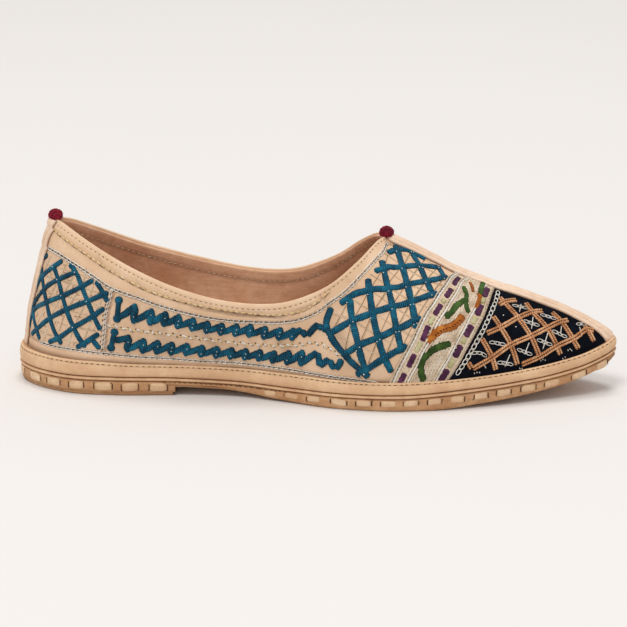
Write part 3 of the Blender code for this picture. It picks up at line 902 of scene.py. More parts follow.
def hand_wave(path, size, seed):
    """Small unevenness of hand work along an edge, the same on each ring of a piece."""
    run = lengths(path)
    return size * (0.5 * np.sin(run / 9.1 + seed) + 0.3 * np.sin(run / 4.3 + 2.1 * seed)
                   + 0.2 * np.sin(run / 2.3 + 3.7 * seed))


def sole_layer(name, finish, slot, replaced, edge, front=TOE_X, count=COLUMNS, wave=0.1,
               seed=1.0, square=False):
    """A sheet under the foot. Its edge is (inset, height curve, shade), from below to above, where
    the shade is painted shade and painted highlight on the edge.

    A square one ends at its front line in a flat face, as the breast of the heel does.
    """
    rings, shades = [], []
    for inset, height, shade in edge:
        ring = edge_line(inset, height, front, count)
        push = np.column_stack([plan_normals(ring), np.zeros(len(ring))])
        push[0] = push[0] if not square else push[1]
        rings.append(ring + push * hand_wave(ring, wave, seed + 0.3 * len(rings))[:, None])
        shades.append(shade)
    flat = np.array([1.0, 0.0, 1.0])
    for ring in rings:
        if not square:
            ring[0, 1] = 0
        ring[-1, 1] = 0
    rings = [rings[0] * flat, *rings, rings[-1] * flat]
    shades = [shades[0], *shades, shades[-1]]
    table = np.stack(rings, axis=1)
    marks = np.zeros_like(table)
    marks[..., 2] = np.array(shades)[None]
    mesh_data = new_piece()
    lay(mesh_data, table, marks)
    if square:
        bmesh.ops.remove_doubles(mesh_data, verts=mesh_data.verts, dist=WELD)
        breast = [e for e in mesh_data.edges
                  if e.is_boundary and not all(abs(v.co.y) < WELD for v in e.verts)]
        bmesh.ops.holes_fill(mesh_data, edges=breast)
    return put(name, mesh_data, finish, slot, replaced)


def offset_height(curve, extra):
    """A height curve moved up by a distance in mm."""
    return lambda x: curve(x) + extra


def outsole():
    """The thick sole sheet, its edge trimmed by knife and a little rounded below."""
    top = -MIDSOLE_THICKNESS - SEAM_GAP
    # Painted shade at the rounded bottom corner and over the top edge, with a painted highlight
    # just below the top edge.
    return sole_layer("outsole_leather", sole_finish, "sole_leather", ["outsole"], [
        (14.0, offset_height(SOLE_BOTTOM, 0.05), 0.45), (5.0, SOLE_BOTTOM, 0.42),
        (1.9, SOLE_BOTTOM, 0.34), (1.0, offset_height(SOLE_BOTTOM, 0.22), 0.36),
        (0.7, offset_height(SOLE_BOTTOM, 0.6), 0.46), (0.55, offset_height(SOLE_BOTTOM, 1.2), 0.5),
        (0.5, offset_height(FEATHER, top - 1.6), 0.52),
        (0.55, offset_height(FEATHER, top - 0.7), 0.56),
        (0.75, offset_height(FEATHER, top - 0.15), 0.44), (1.6, offset_height(FEATHER, top), 0.4),
    ], wave=0.16, seed=2.0)


def heel_lift():
    """The lift under the heel, its edge grooved where its leather layers meet, with painted shade
    in the grooves and along its bottom.
    """
    def level(z):
        return profile((HEEL_X, z), (TOE_X, z))
    return sole_layer("heel_lift_leather", sole_finish, "sole_leather", ["heel_lift"], [
        (12.0, level(0.05), 0.35), (2.4, level(0.0), 0.32), (1.5, level(0.15), 0.34),
        (1.0, level(0.6), 0.40), (0.92, level(1.05), 0.42), (1.12, level(1.2), 0.22),
        (0.92, level(1.35), 0.42), (0.85, level(2.2), 0.46), (1.05, level(2.36), 0.24),
        (0.85, level(2.52), 0.46), (0.85, level(3.3), 0.48), (1.05, level(3.58), 0.3),
    ], front=BREAST_X, count=110, wave=0.12, seed=4.0, square=True)


def midsole():
    """The thin pale welt that shows as a raised line between rand and sole, with a painted
    highlight on its ridge and painted shade at its edges.
    """
    return sole_layer("welt_leather", welt_finish, "welt_leather", ["midsole"], [
        (1.2, offset_height(FEATHER, -1.3), 0.4), (0.45, offset_height(FEATHER, -1.2), 0.46),
        (0.0, offset_height(FEATHER, -0.85), 0.62), (-0.08, offset_height(FEATHER, -0.55), 0.8),
        (0.05, offset_height(FEATHER, -0.25), 0.6), (0.5, offset_height(FEATHER, -0.05), 0.46),
        (1.2, offset_height(FEATHER, 0.0), 0.4),
    ], wave=0.14, seed=3.0)


def insole():
    """The sock the foot stands on: thin leather, cupped at its edge, with a painted highlight on
    the lip, painted shade in the hollow inside it, and darker towards its middle.
    """
    base = SEAM_GAP + INSOLE_THICKNESS
    return sole_layer("insole_leather", insole_finish, "lining_leather", ["insole"], [
        (7.0, offset_height(FEATHER, SEAM_GAP), 0.4), (6.2, offset_height(FEATHER, 0.8), 0.4),
        (6.0, offset_height(FEATHER, base + 0.3), 0.46),
        (6.3, offset_height(FEATHER, base + 0.7), 0.62),
        (7.0, offset_height(FEATHER, base + 0.5), 0.55), (8.4, offset_height(FEATHER, base), 0.34),
        (10.0, offset_height(FEATHER, base - 0.1), 0.5),
        (14.0, offset_height(FEATHER, base - 0.1), 0.4),
    ], front=INSOLE_TIP_X, count=150, wave=0.12, seed=5.0, square=True)


def rand_level(x, share):
    """Height on the rand, from its foot at share 0 to its top at share 1."""
    foot = FEATHER(x) + SEAM_GAP
    return foot + share * (RAND_TOP(x) - foot)


# The rand's section, from its top inside to its foot outside: inset, share of its height
# and shade: a painted highlight on the roll's top, painted shade in the stitch groove and at
# the foot. Its inner side lies against the upper at a few more shares of the height.
RAND_SECTION = [
    (1.75, 1.0, 0.34), (1.35, 1.03, 0.46), (0.98, 1.0, 0.66), (0.72, 0.93, 0.6),
    (0.74, 0.865, 0.38), (0.58, 0.82, 0.36), (0.36, 0.76, 0.52), (0.12, 0.6, 0.54),
    (0.02, 0.42, 0.52), (0.08, 0.24, 0.49), (0.35, 0.09, 0.44), (0.8, 0.02, 0.38),
    (1.4, 0.0, 0.34),
]
RAND_INNER_SHARES = (0.0, 0.5, 0.97)
RAND_GROOVE = 4


def rand_rings():
    """The rand's rings from its foot inside, up over its top and down its outer side."""
    out = np.column_stack([plan_normals(base_skin[:, 0]), np.zeros(COLUMNS + 1)])
    rings = []
    for share in RAND_INNER_SHARES:
        level = rand_level(base_skin[:, 0, 0], share)
        reach = np.array([
            np.interp(height, section[:, 2], (section - section[0]) @ side)
            for height, section, side in zip(level, base_skin, out)
        ])
        ring = base_skin[:, 0] + out * (reach + SEAM_GAP)[:, None]
        ring[:, 2] = rand_level(ring[:, 0], share)
        rings.append(ring)
    for number, (inset, share, _) in enumerate(RAND_SECTION):
        edge = outline(inset)
        ring = np.column_stack([edge, rand_level(edge[:, 0], share)])
        push = np.column_stack([plan_normals(edge), np.zeros(len(edge))])
        rings.append(ring + push * hand_wave(ring, 0.13, 1.0 + 0.12 * number)[:, None])
    for ring in rings:
        ring[[0, -1], 1] = 0
    return rings


def rand():
    """A fat rolled band of leather round the foot of the upper, with a stitched groove."""
    rings = rand_rings()
    table = np.stack([*rings, rings[0]], axis=1)
    marks = np.zeros_like(table)
    # Painted shade on the inner rings against the upper; the section's shades paint highlight and
    # shade on the roll.
    marks[..., 2] = np.array([0.3, 0.3, 0.3, *(s for _, _, s in RAND_SECTION), 0.3])
    mesh_data = new_piece()
    lay(mesh_data, table, marks)
    return put("rand_leather", mesh_data, rand_finish, "rand_leather", ["rand"])


def rand_path():
    """The groove near the rand's top that its stitches lie in."""
    rings = rand_rings()
    groove_ring = len(RAND_INNER_SHARES) + RAND_GROOVE
    groove, higher = rings[groove_ring], rings[groove_ring - 1]
    out = np.column_stack([plan_normals(groove), np.zeros(len(groove))])
    out = out + UP * 0.35
    out[[0, -1], 1] = 0
    return groove + (higher - groove) * 0.1, out / np.linalg.norm(out, axis=1, keepdims=True)


def rand_stitching():
    """Waxed thread in the rand's groove, with the pale leather pinched up between stitches."""
    path = rand_path()
    dark = new_piece()
    stitches(dark, path, 2.5, 1.5, 0.42, height=0.16, jitter=0.22)
    put("rand_dark_stitches", dark, brown_finish, "tan_thread")
    pale = new_piece()
    stitches(pale, shifted(path, 0.22), 2.5, 0.9, 0.42, height=0.18, phase=0.62, jitter=0.22)
    put("rand_pale_stitches", pale, gold_finish, "tan_thread")


# Laces that bind the sole's layers: where each starts along the sole's edge, and its length.
LACES = [
    (8.2, 6.0), (19.7, 7.1), (32.6, 7.2), (44.2, 6.8), (56.0, 6.5), (66.8, 6.0), (77.6, 6.4),
    (87.9, 6.0), (98.2, 6.4), (108.0, 6.6), (119.0, 6.6), (130.0, 7.0), (142.2, 6.2),
    (152.6, 6.4), (163.2, 5.6), (212.6, 7.8), (225.5, 7.4), (237.4, 7.9), (250.4, 7.0),
    (262.2, 7.2), (273.6, 7.6), (287.0, 7.0),
]
LACE_HEIGHT = profile((HEEL_X, 4.3), (-62, 4.3), (-50, 2.6), (-10, 2.8), (20, 3.2), (90, 3.3),
                      (TOE_X, 3.6))
LACE_ALONG = np.array([-1.0, -0.96, -0.86, -0.5, 0.0, 0.5, 0.86, 0.96, 1.0])
LACE_ACROSS = np.array([-1.0, -0.92, -0.74, -0.3, 0.3, 0.74, 0.92, 1.0])


# Where the leather pasted round the heel starts, and between where the waist is stitched, as
# distances along the sole's edge.
WRAP_START = 209.0
WAIST_STITCHES = (158.0, 217.0)


def lace_top(x):
    """The height that the laces reach up to, just under the sole sheet's upper edge."""
    return FEATHER(x) - MIDSOLE_THICKNESS - SEAM_GAP - 0.35


def edge_laces():
    """Flat leather laces sewn round the sole's edge, with dark cords at their ends as painted shade
    of the slots they sink into.
    """
    lace, slot_shade_and_stitches = new_piece(), new_piece()
    rim = smooth_path(OUTLINE)
    run = lengths(rim)
    out = plan_normals(rim)

    def on_edge(along, stand, height):
        x, y, out_x, out_y = (np.interp(along, run, part) for part in (*rim.T[:2], *out.T))
        return np.stack([x + out_x * stand, y + out_y * stand,
                         np.broadcast_to(height, np.shape(x))], axis=-1), (out_x, out_y)

    # Thin leather pasted round the heel, over the joint between the lift and the sole.
    along = np.linspace(WRAP_START, run[-1], 90)
    table = np.stack([on_edge(along, stand, rise)[0] for stand, rise in (
        (-1.6, 6.75), (-0.62, 6.6), (-0.48, 5.6), (-0.5, 3.6), (-0.62, 1.9), (-1.6, 1.6))], axis=1)
    table[-1, :, 1] = 0
    marks = np.zeros_like(table)
    # Painted shade along its top and bottom edges, where it tucks in.
    marks[..., 2] = np.array([0.3, 0.46, 0.5, 0.5, 0.46, 0.3])
    wrap = new_piece()
    lay(wrap, table, marks)
    put("heel_wrap_leather", wrap, sole_finish, "sole_leather")
    near, side = np.abs(LACE_ALONG)[:, None], np.abs(LACE_ACROSS)[None]
    for start, length in LACES:
        along = start + length * (LACE_ALONG[:, None] + 1) / 2 + 0 * side
        x = np.interp(along[:, :1], run, rim[:, 0])
        top = lace_top(x)
        tall = LACE_HEIGHT(x) + 0.2 * chance.uniform(-1, 1)
        middle = top - tall / 2 + 0.2 * chance.uniform(-1, 1) * LACE_ALONG[:, None]
        height = middle + LACE_ACROSS[None] * tall / 2 * (1 - 0.25 * near ** 5)
        plump = (1 - side ** 6) * (1 - near ** 10)
        table, _ = on_edge(along, -0.95 + (0.72 + 0.1 * chance.random()) * plump, height)
        marks = np.zeros_like(table)
        # Painted shade round each lace's border, where it sinks into the edge, and a slight painted
        # highlight over its face.
        marks[..., 2] = 0.58 - 0.5 * np.clip(near ** 14 + side ** 12, 0, 1)
        lay(lace, table, marks)
        # Dark brown cords at each lace's ends and feet are painted shade of the slot it sinks into;
        # the waist stitches below are real.
        for end, away in ((0, -1), (-1, 1)):
            if chance.random() < 0.12:
                continue
            at = along[end, 0] + away * 0.25
            low, high = height[end, 0], height[end, -1]
            foot = np.linspace(0, chance.uniform(-0.9, 0.7), 5)
            for steps, rise in ((np.zeros(7), np.linspace(low, high, 7)),
                                (foot, np.full(5, chance.choice((low, low, high))))):
                points, (out_x, out_y) = on_edge(at + away * steps, -0.5, rise)
                ways = np.stack([out_x, out_y, 0 * out_x], axis=-1)
                cord(slot_shade_and_stitches, (points, ways), 0.42 + 0.16 * chance.random(), 0.16, sides=6)
    waist = np.arange(*WAIST_STITCHES, 0.5)
    level = lace_top(np.interp(waist, run, rim[:, 0]))
    points, (out_x, out_y) = on_edge(waist, -0.6, level)
    ways = np.stack([out_x, out_y, 0 * out_x], axis=-1)
    stitches(slot_shade_and_stitches, (points, ways), 2.3, 1.3, 0.34, height=0.16, lean=0.5, jitter=0.45)
    put("sole_edge_laces", lace, lace_finish, "sole_leather")
    put("sole_edge_slot_shade_and_stitches", slot_shade_and_stitches, brown_finish, "sole_leather")


# ---------------------------------------------------------------- strips and pompoms

# Half of a strip's section: share of its half width from one edge to the middle, and height.
STRIP_SECTION = [(-1.0, 0.55), (-0.97, 1.0), (-0.86, 1.45), (-0.7, 1.62), (-0.62, 1.58),
                 (-0.5, 1.85), (-0.3, 2.1), (0.0, 2.2)]


def strip(name, line, replaced, closing):
    """A folded strip over a seam on the middle line: domed, with a crease by each edge.

    line holds, for each step, the half width and the way to find the leather beside it.
    """
    table = []
    for number, (half, beside) in enumerate(line):
        row = []
        for share, rise in [(-1.0, 0.1), *STRIP_SECTION]:
            point, out = beside(abs(share) * half)
            wobble = (1 + 0.025 * math.sin(number * 0.31 + share * 2)
                      + 0.015 * math.sin(number * 0.83))
            row.append(point + out * rise * wobble)
        table.append(row)
    table = np.array(table)
    table[:, -1, 1] = 0
    floor_point = np.array([beside(0.0)[0] for _, beside in line])
    floor_point[:, 1] = 0
    table = np.concatenate([table, floor_point[:, None]], axis=1)
    # The strip's foot is darker, partly its own dark edge and partly painted shade; a painted
    # highlight on the rolled edge and painted shade in the crease beside it.
    shade = [0.05, 0.14, 0.44, 0.72, 0.6, 0.36, 0.5, 0.54, 0.58, 0.5]
    ends = np.clip(np.minimum(np.arange(len(line)), np.arange(len(line))[::-1]) / 3, 0, 1)
    if closing:
        middle = floor_point[:, None]
        keep = np.sqrt(1 - (1 - ends) ** 2)[:, None, None]
        # The first end runs on under the rand, so it stays nearly full; the last one closes.
        least = np.where(np.arange(len(line)) < len(line) / 2, 0.9, 0.25)[:, None, None]
        table = middle + (table - middle) * (least + (1 - least) * keep)
    marks = np.zeros_like(table)
    marks[..., 2] = np.array(shade)
    marks[..., 0] = np.arange(len(line))[:, None]
    mesh_data = new_piece()
    lay(mesh_data, np.concatenate([table, table[:, :1]], axis=1),
        np.concatenate([marks, marks[:, :1]], axis=1))
    bmesh.ops.remove_doubles(mesh_data, verts=mesh_data.verts, dist=WELD)
    rims = [e for e in mesh_data.edges if e.is_boundary]
    bmesh.ops.holes_fill(mesh_data, edges=rims)
    return put(name, mesh_data, strip_finish, "strip_leather", [replaced])


def beside_middle(points, outs):
    """Reads the leather at a distance from the middle line, along one section."""
    reach = points[:, 1]
    order = np.argsort(reach)

    def at(distance):
        point = np.array([np.interp(distance, reach[order], part[order]) for part in points.T])
        out = np.array([np.interp(distance, reach[order], part[order]) for part in outs.T])
        if distance == 0:
            out[1] = 0
        return point, out / np.linalg.norm(out)

    return at


def ridge_strip():
    """The strip along the ridge from the throat to the toe tip."""
    line = []
    for column in range(2, throat_column + 1):
        widest = int(np.argmax(skin[column, :, 1]))
        half = min(3.3 + 0.5 * (1 - column / throat_column), 0.8 * skin[column, widest, 1])
        line.append((half, beside_middle(skin[column, widest:], skin_out[column, widest:])))
    return strip("ridge_strip_leather", line, "ridge_strip", True)


def back_strip():
    """The strip up the back of the heel."""
    line = []
    for row in range(ROWS + 1):
        if skin[-1, row, 2] < RAND_TOP(HEEL_X) - 1.5:
            continue
        line.append((3.6, beside_middle(skin[-60:, row], skin_out[-60:, row])))
    return strip("back_strip_leather", line, "back_strip", False)


POMPOM_RADIUS = 3.4
POMPOM_CORE = 0.86
POMPOM_SQUASH = 0.86
POMPOM_TUFTS = 420
THROAT_SEAT = (32.0, 0.0, 69.0)
BACK_SEAT = (-117.2, 0.0, 74.0)


def pompom(name, node, seat, radius):
    """A small ball of wound wool, with a short pile of cut ends."""
    mesh_data = new_piece()
    layer = mesh_data.verts.layers.float_vector["marks"]
    made = bmesh.ops.create_icosphere(mesh_data, subdivisions=4, radius=radius * POMPOM_CORE * MM)
    for vert in made["verts"]:
        way = vert.co.normalized()
        lump = 0.05 * math.sin(9 * way.x + 4 * way.z) + 0.05 * math.sin(11 * way.y - 5 * way.x)
        vert.co = vert.co * (1 + lump) * (1 if way.z > -0.3 else 0.92)
        vert.co.z *= POMPOM_SQUASH
        # The core's marks.z of 0.3 darkens it a little: painted shade under the pile.
        vert[layer] = (way.x * 3, way.y * 3 + way.z * 2, 0.3)
    bmesh.ops.translate(mesh_data, verts=made["verts"],
                        vec=(seat[0] * MM, 0, (seat[2] + radius * 0.5) * MM))
    centre = np.array([seat[0], 0.0, seat[2] + radius * 0.5])
    golden = math.pi * (3 - math.sqrt(5))
    for number in range(POMPOM_TUFTS):
        z = 1 - 1.55 * (number + 0.5) / POMPOM_TUFTS
        flat = math.sqrt(max(0.0, 1 - z * z))
        turn = number * golden + 0.3 * chance.random()
        way = np.array([flat * math.cos(turn), flat * math.sin(turn), z])
        lean = np.array([chance.uniform(-1, 1) for _ in range(3)]) * 0.35
        tip = way + lean
        tip /= np.linalg.norm(tip)
        squash = np.array([1, 1, POMPOM_SQUASH])
        root = centre + way * radius * 0.74 * squash
        end = root + tip * radius * (0.22 + 0.10 * chance.random())
        side = np.cross(tip, [0.3, 0.5, 0.8])
        side /= np.linalg.norm(side)
        line = np.linspace(root, end, 4)
        cord(mesh_data, (line, np.tile(side, (4, 1))), 0.62, 0.3, sides=5, sink=0.3,
             tips=(0.1, 0.35), shade=chance.random())
    return put(name, mesh_data, yarn_finish, "pompom_yarn", [node], mirrored=False)


# ---------------------------------------------------------------- embroidery, marked as (x, z)

HEEL_UPRIGHTS = [
    [(-127, 41), (-127.6, 36.5), (-127.6, 30), (-125.5, 24.8), (-123.5, 21)],
    [(-123.5, 57.5), (-123.6, 51), (-122, 43), (-120, 37), (-118, 31), (-115.5, 26), (-112, 21.5)],
    [(-116.8, 54), (-114.5, 49), (-112.4, 43), (-110, 37), (-107, 31), (-103.3, 25),
     (-100.5, 21.5)],
    [(-109, 57), (-105.3, 53), (-102.6, 47.8), (-99.6, 41.8), (-97, 36.4), (-93.5, 29.8)],
    [(-96.3, 51), (-93.8, 48), (-91.6, 44.5), (-90, 42.5)],
    [(-97.3, 25.3), (-94, 21)],
]
HEEL_SLANTS = [
    [(-127.5, 40), (-126.3, 47), (-123.6, 54.3), (-120.3, 58.5)],
    [(-128.8, 34), (-124.6, 46.2), (-120, 51.6), (-116, 55), (-112.3, 57.8)],
    [(-129.8, 28.5), (-125.4, 38.3), (-119.8, 45.4), (-113.6, 49.6), (-104.8, 54.2)],
    [(-130.4, 22.5), (-127.7, 31.8), (-121.2, 37.6), (-113.4, 41.9), (-106, 46.1), (-97, 51.4)],
    [(-128.5, 21.5), (-124.8, 25.7), (-118.3, 31.8), (-111.7, 36.2), (-105.8, 39.3),
     (-99.6, 42.2), (-94, 44.9), (-89.9, 46.8)],
    [(-119, 21), (-113, 24.7), (-106.6, 29.7), (-98.5, 35), (-91.6, 40)],
    [(-105.2, 21), (-101, 23.6), (-94.2, 28.4)],
]
VAMP_UPRIGHTS = [
    [(9.3, 43.8), (7.3, 37.5), (9.2, 32.3), (14.6, 25.8), (21.3, 19.7), (26.8, 15.2)],
    [(17.4, 47.6), (18.7, 39.4), (21.1, 31.4), (23.5, 22.9), (25.4, 18.2)],
    [(25, 55.8), (26.2, 49.5), (27.5, 43), (30, 33.9), (32.7, 25.5), (36.5, 17.5)],
    [(30.7, 62), (32.9, 55), (35.4, 47.5), (37.5, 39.1), (39.5, 31.9), (40.9, 26.9)],
    [(36.2, 66), (39, 60.4), (41.6, 54.4), (44.1, 47.2), (46.1, 39.7), (46.7, 36)],
    [(42.8, 63.4), (46.9, 58.6), (49.8, 54.3), (53, 49.2)],
    [(55, 57), (59, 52.3)],
]
VAMP_CROSSWAYS = [
    [(32.8, 63.6), (36.2, 64.3), (42.6, 63.2), (49.8, 59.6)],
    [(27.7, 58), (34.3, 59.1), (45.2, 58.6), (55.5, 56.4)],
    [(13, 45.2), (18.3, 49), (25.3, 51.3), (34.8, 52), (43.4, 52.9), (52, 53.2), (60, 52.9)],
    [(9.3, 33.3), (17.8, 38.5), (27.4, 42.6), (37.3, 45.3), (46, 47.1), (52.3, 48.3), (55.8, 48.6)],
    [(15.3, 24.7), (22.5, 29.4), (31.2, 33.1), (39.8, 36.7), (46.1, 39.6), (49.3, 40.2)],
    [(20.8, 15.8), (25, 18.5), (32.7, 23.8), (40, 27.7), (43.4, 29.5)],
]
HEEL_BAR_WIDTH = 2.45
VAMP_BAR_WIDTH = 3.1

# Two lines that pass each other by less than this cross.
CROSSING_GAP = 2.2


def crossing(first, second):
    """Where two worked lines cross on the leather, or None if they don't meet."""
    a, b = (line_spots(line) for line in (first, second))
    a, b = spread(a, np.linspace(0, 1, 60)), spread(b, np.linspace(0, 1, 60))
    gaps = np.linalg.norm(on_skin(a)[0][:, None] - on_skin(b)[0][None], axis=-1)
    i, j = np.unravel_index(np.argmin(gaps), gaps.shape)
    return (a[i] + b[j]) / 2 if gaps[i, j] < CROSSING_GAP else None


def lattice(name, uprights, slants, width):
    """Two families of satin-stitched bars that cross, the second laid over the first."""
    mesh_data = new_piece()
    for height, family in ((0.62, uprights), (0.86, slants)):
        for line in family:
            path = stitched(line, 0.62)
            turn = np.arange(len(path[0])) * 0.35 + chance.random() * 6
            swell = width * (1 + 0.06 * np.sin(turn))
            cord(mesh_data, path, swell, height, ragged=0.055, tips=(0.9, 0.9))
    return put(name, mesh_data, teal_finish, "teal_thread")


def cell_corners(uprights, slants):
    """Corners of every cell of a lattice that has at least three of them."""
    found = [[crossing(a, b) for b in slants] for a in uprights]
    for i in range(len(uprights) - 1):
        for j in range(len(slants) - 1):
            corners = [found[i][j], found[i + 1][j], found[i + 1][j + 1], found[i][j + 1]]
            missing = [k for k, corner in enumerate(corners) if corner is None]
            if len(missing) == 1:
                k = missing[0]
                corners[k] = corners[k - 1] + corners[(k + 1) % 4] - corners[k - 2]
                missing = []
            if not missing:
                yield corners


def straight(a, b, lift=0.05, step=0.6):
    """A thread laid straight from one place to another."""
    ends = on_skin(np.array([a, b]))[0]
    count = max(4, int(math.dist(*ends) / step) + 1)
    return on_skin(a + (b - a) * np.linspace(0, 1, count)[:, None], lift)


def cell_crosses():
    """Fine crosses in the lattice cells, in beige and taupe, with strays and white knots."""
    threads = {key: new_piece() for key in ("beige", "taupe", "orange", "white")}
    for kind, uprights, slants in (("heel", HEEL_UPRIGHTS, HEEL_SLANTS),
                                   ("vamp", VAMP_UPRIGHTS, VAMP_CROSSWAYS)):
        for corners in cell_corners(uprights, slants):
            middle = sum(corners) / 4
            inset = 0.30 if kind == "vamp" else 0.40
            for k, key in ((0, "beige"), (1, "taupe" if kind == "vamp" else "beige")):
                a, b = (c + (middle - c) * (inset + 0.06 * chance.uniform(-1, 1))
                        for c in (corners[k], corners[k + 2]))
                cord(threads[key], straight(a, b), 0.3 if kind == "vamp" else 0.45, 0.2, sides=5)
                drift = (corners[1] - corners[0]) * 0.07 * chance.uniform(0.6, 1.2)
                if chance.random() < 0.6:
                    cord(threads["beige"], straight(a + drift, b + drift), 0.3, 0.2, sides=5)
            if kind == "heel":
                for _ in range(3):
                    a = middle + (corners[chance.randrange(4)] - middle) * chance.uniform(0.2, 0.5)
                    b = a + (corners[chance.randrange(4)] - middle) * 0.3
                    cord(threads[chance.choice(["orange", "taupe", "beige"])], straight(a, b),
                         0.28, 0.2, sides=5)
            if chance.random() < 0.5:
                centre, out = on_skin(middle)
                knot(threads["white"], centre, out, 0.26)
    put("cell_crosses_beige", threads["beige"], beige_finish, "pale_thread")
    put("cell_crosses_taupe", threads["taupe"], taupe_finish, "coloured_thread")
    put("cell_crosses_orange", threads["orange"], orange_finish, "coloured_thread")
    put("cell_knots", threads["white"], white_finish, "pale_thread")


def crossing_knots():
    """Tiny white knots by the lattices' crossings: one or two on the vamp, fewer at the heel."""
    mesh_data = new_piece()
    for upright in VAMP_UPRIGHTS:
        for crossway in VAMP_CROSSWAYS:
            place = crossing(upright, crossway)
            if place is None:
                continue
            for number in range(chance.choice((1, 1, 2, 2))):
                centre, out = on_skin(place + np.array([0.6 - 1.3 * number, -3.2 + 1.2 * number])
                                      * (0.6 + 0.4 * chance.random()), 0.75)
                knot(mesh_data, centre, out, 0.27)
    for slant in HEEL_SLANTS:
        for upright in HEEL_UPRIGHTS[2:4]:
            place = crossing(upright, slant)
            if place is not None and chance.random() < 0.6:
                centre, out = on_skin(place, 0.85)
                knot(mesh_data, centre, out, 0.26)
    put("crossing_knots", mesh_data, white_finish, "pale_thread")


# The two wavy rows on the quarter: tooth places, and the heights of peaks and troughs there.
UPPER_TEETH = [-78.5, -71, -64.7, -58.7, -52.3, -45.9, -39.6, -33.1, -27, -20.5, -13.8, -8]
LOWER_TEETH = [-81.6, -74.8, -68.5, -62.2, -55.5, -48.8, -42.2, -35.6, -29.2, -22.9, -16.6, -10,
               -3.8]
UPPER_PEAKS = profile((-86, 44.6), (-78.5, 42.8), (-71, 41.2), (-58.7, 39), (-39.6, 36.1),
                      (-20, 34.8), (-8, 34.2), (4, 37.5))
UPPER_TROUGHS = profile((-86, 34), (-71, 33.2), (-52, 30.9), (-33, 29), (-13, 27.9), (-8, 28.2),
                        (4, 33))
LOWER_PEAKS = profile((-88, 30.5), (-81.6, 28.8), (-75, 27.5), (-62, 26.2), (-42, 24.4),
                      (-20, 23.5), (-4, 24.6))
LOWER_TROUGHS = profile((-88, 20.6), (-75, 19.7), (-55, 18.8), (-35, 17.6), (-4, 17))


def wavy_row(mesh_data, teeth, peaks, troughs, bone, last):
    """A row of rounded teeth: each drops in a thick S and climbs on a slant to the next."""
    knob_top, knob_low = bone
    cord(mesh_data, stitched([knob_top, knob_low], 0.5), 2.5, 0.9, ragged=0.05, tips=(1.0, 1.0))
    for knob in bone:
        here = np.array(knob, float)
        cord(mesh_data, stitched([here + (0.1, 1.85), here - (0.1, 1.85)], 0.4), 3.8, 1.1,
             ragged=0.04, tips=(1.8, 1.8))
    low = np.array(last["start"], float)
    for x in teeth:
        wander = 0.25 * chance.uniform(-1, 1)
        high = np.array([x + 0.3, peaks(x) - 1.5 + wander])
        foot = np.array([x + 0.3, troughs(x) + 1.5 + wander])
        bow = 0.35 + 0.2 * chance.random()
        drop = high - foot
        climb = [low, low + (high - low) * 0.5 + (0.15, -0.25), high]
        path = stitched(climb, 0.55)
        belly = np.sin(np.linspace(0, math.pi, len(path[0])))
        cord(mesh_data, path, 2.9 + 0.3 * belly, 0.75, ragged=0.08, tips=(1.0, 1.0))
        fall = [high + (-0.2, 1.5), high - drop * 0.2 + (bow, 0), high - drop * 0.5 + (0.1, 0),
                high - drop * 0.8 + (-bow, 0), foot + (0.2, -1.5)]
        path = stitched(fall, 0.55)
        belly = np.sin(np.linspace(0, math.pi, len(path[0])))
        cord(mesh_data, path, 2.3 + 0.95 * belly, 1.25, ragged=0.08, tips=(0.9, 0.9))
        low = foot
    for line in last["end"]:
        cord(mesh_data, stitched([low, *line], 0.55), 3.1, 0.95, ragged=0.06, tips=(1.3, 1.3))
        low = np.array(line[-1], float)


def wavy_rows():
    """Both rows of teal waves on the quarter, from a dog-bone bar to the vamp's lattice."""
    mesh_data = new_piece()
    wavy_row(mesh_data, UPPER_TEETH, UPPER_PEAKS, UPPER_TROUGHS, ((-85.3, 43.6), (-86, 35.6)), {
        "start": (-85.2, 36.2),
        "end": [[(-5.5, 32.4), (-3.3, 33.6)], [(-2.4, 31.4), (-1.2, 30.8)],
                [(1.8, 34.5), (4.0, 36.6)], [(4.8, 34.8), (5.2, 33.8)], [(7, 35), (8, 37)]],
    })
    wavy_row(mesh_data, LOWER_TEETH, LOWER_PEAKS, LOWER_TROUGHS, ((-87.2, 29.4), (-89, 22)), {
        "start": (-87.6, 25.6),
        "end": [[(0.4, 22), (3.8, 24.4)], [(4.3, 21), (4.6, 18.2)], [(7, 20.5), (9.2, 22)],
                [(10.2, 19.5), (11.7, 17.8)], [(13.4, 20), (14.5, 22.8)]],
    })
    put("teal_waves", mesh_data, teal_finish, "teal_thread")
    knots = new_piece()
    for teeth, peaks, troughs in ((UPPER_TEETH, UPPER_PEAKS, UPPER_TROUGHS),
                                  (LOWER_TEETH, LOWER_PEAKS, LOWER_TROUGHS)):
        for x in teeth:
            for share in (0.36, 0.62):
                if chance.random() < 0.62:
                    z = troughs(x) + share * (peaks(x) - troughs(x))
                    centre, out = on_skin(spot(x + 0.3 + 0.4 * (share > 0.5), z), 1.15)
                    knot(knots, centre, out, 0.24)
    put("wave_knots", knots, white_finish, "pale_thread")


def twisted_chain(white, ink, line, width=1.45, length=2.6, thick=0.5, start=0.0, end=1.0):
    """White chain stitch whipped with dark thread, as on the edges of each panel."""
    path = stitched(line, 0.6, 0.1, start, end)
    chain(white, path, length, width, thick)
    stitches(ink, path, length * LINK_PITCH, 0.9, 0.38, height=0.34, aside=width * 0.5, lean=0.5,
             phase=0.1)
    stitches(ink, path, length * LINK_PITCH, 0.9, 0.38, height=0.34, aside=-width * 0.5, lean=0.5,
             phase=0.55)
    stitches(ink, path, length * LINK_PITCH, 1.1, 0.55, height=0.5, lean=0.9, phase=0.9)


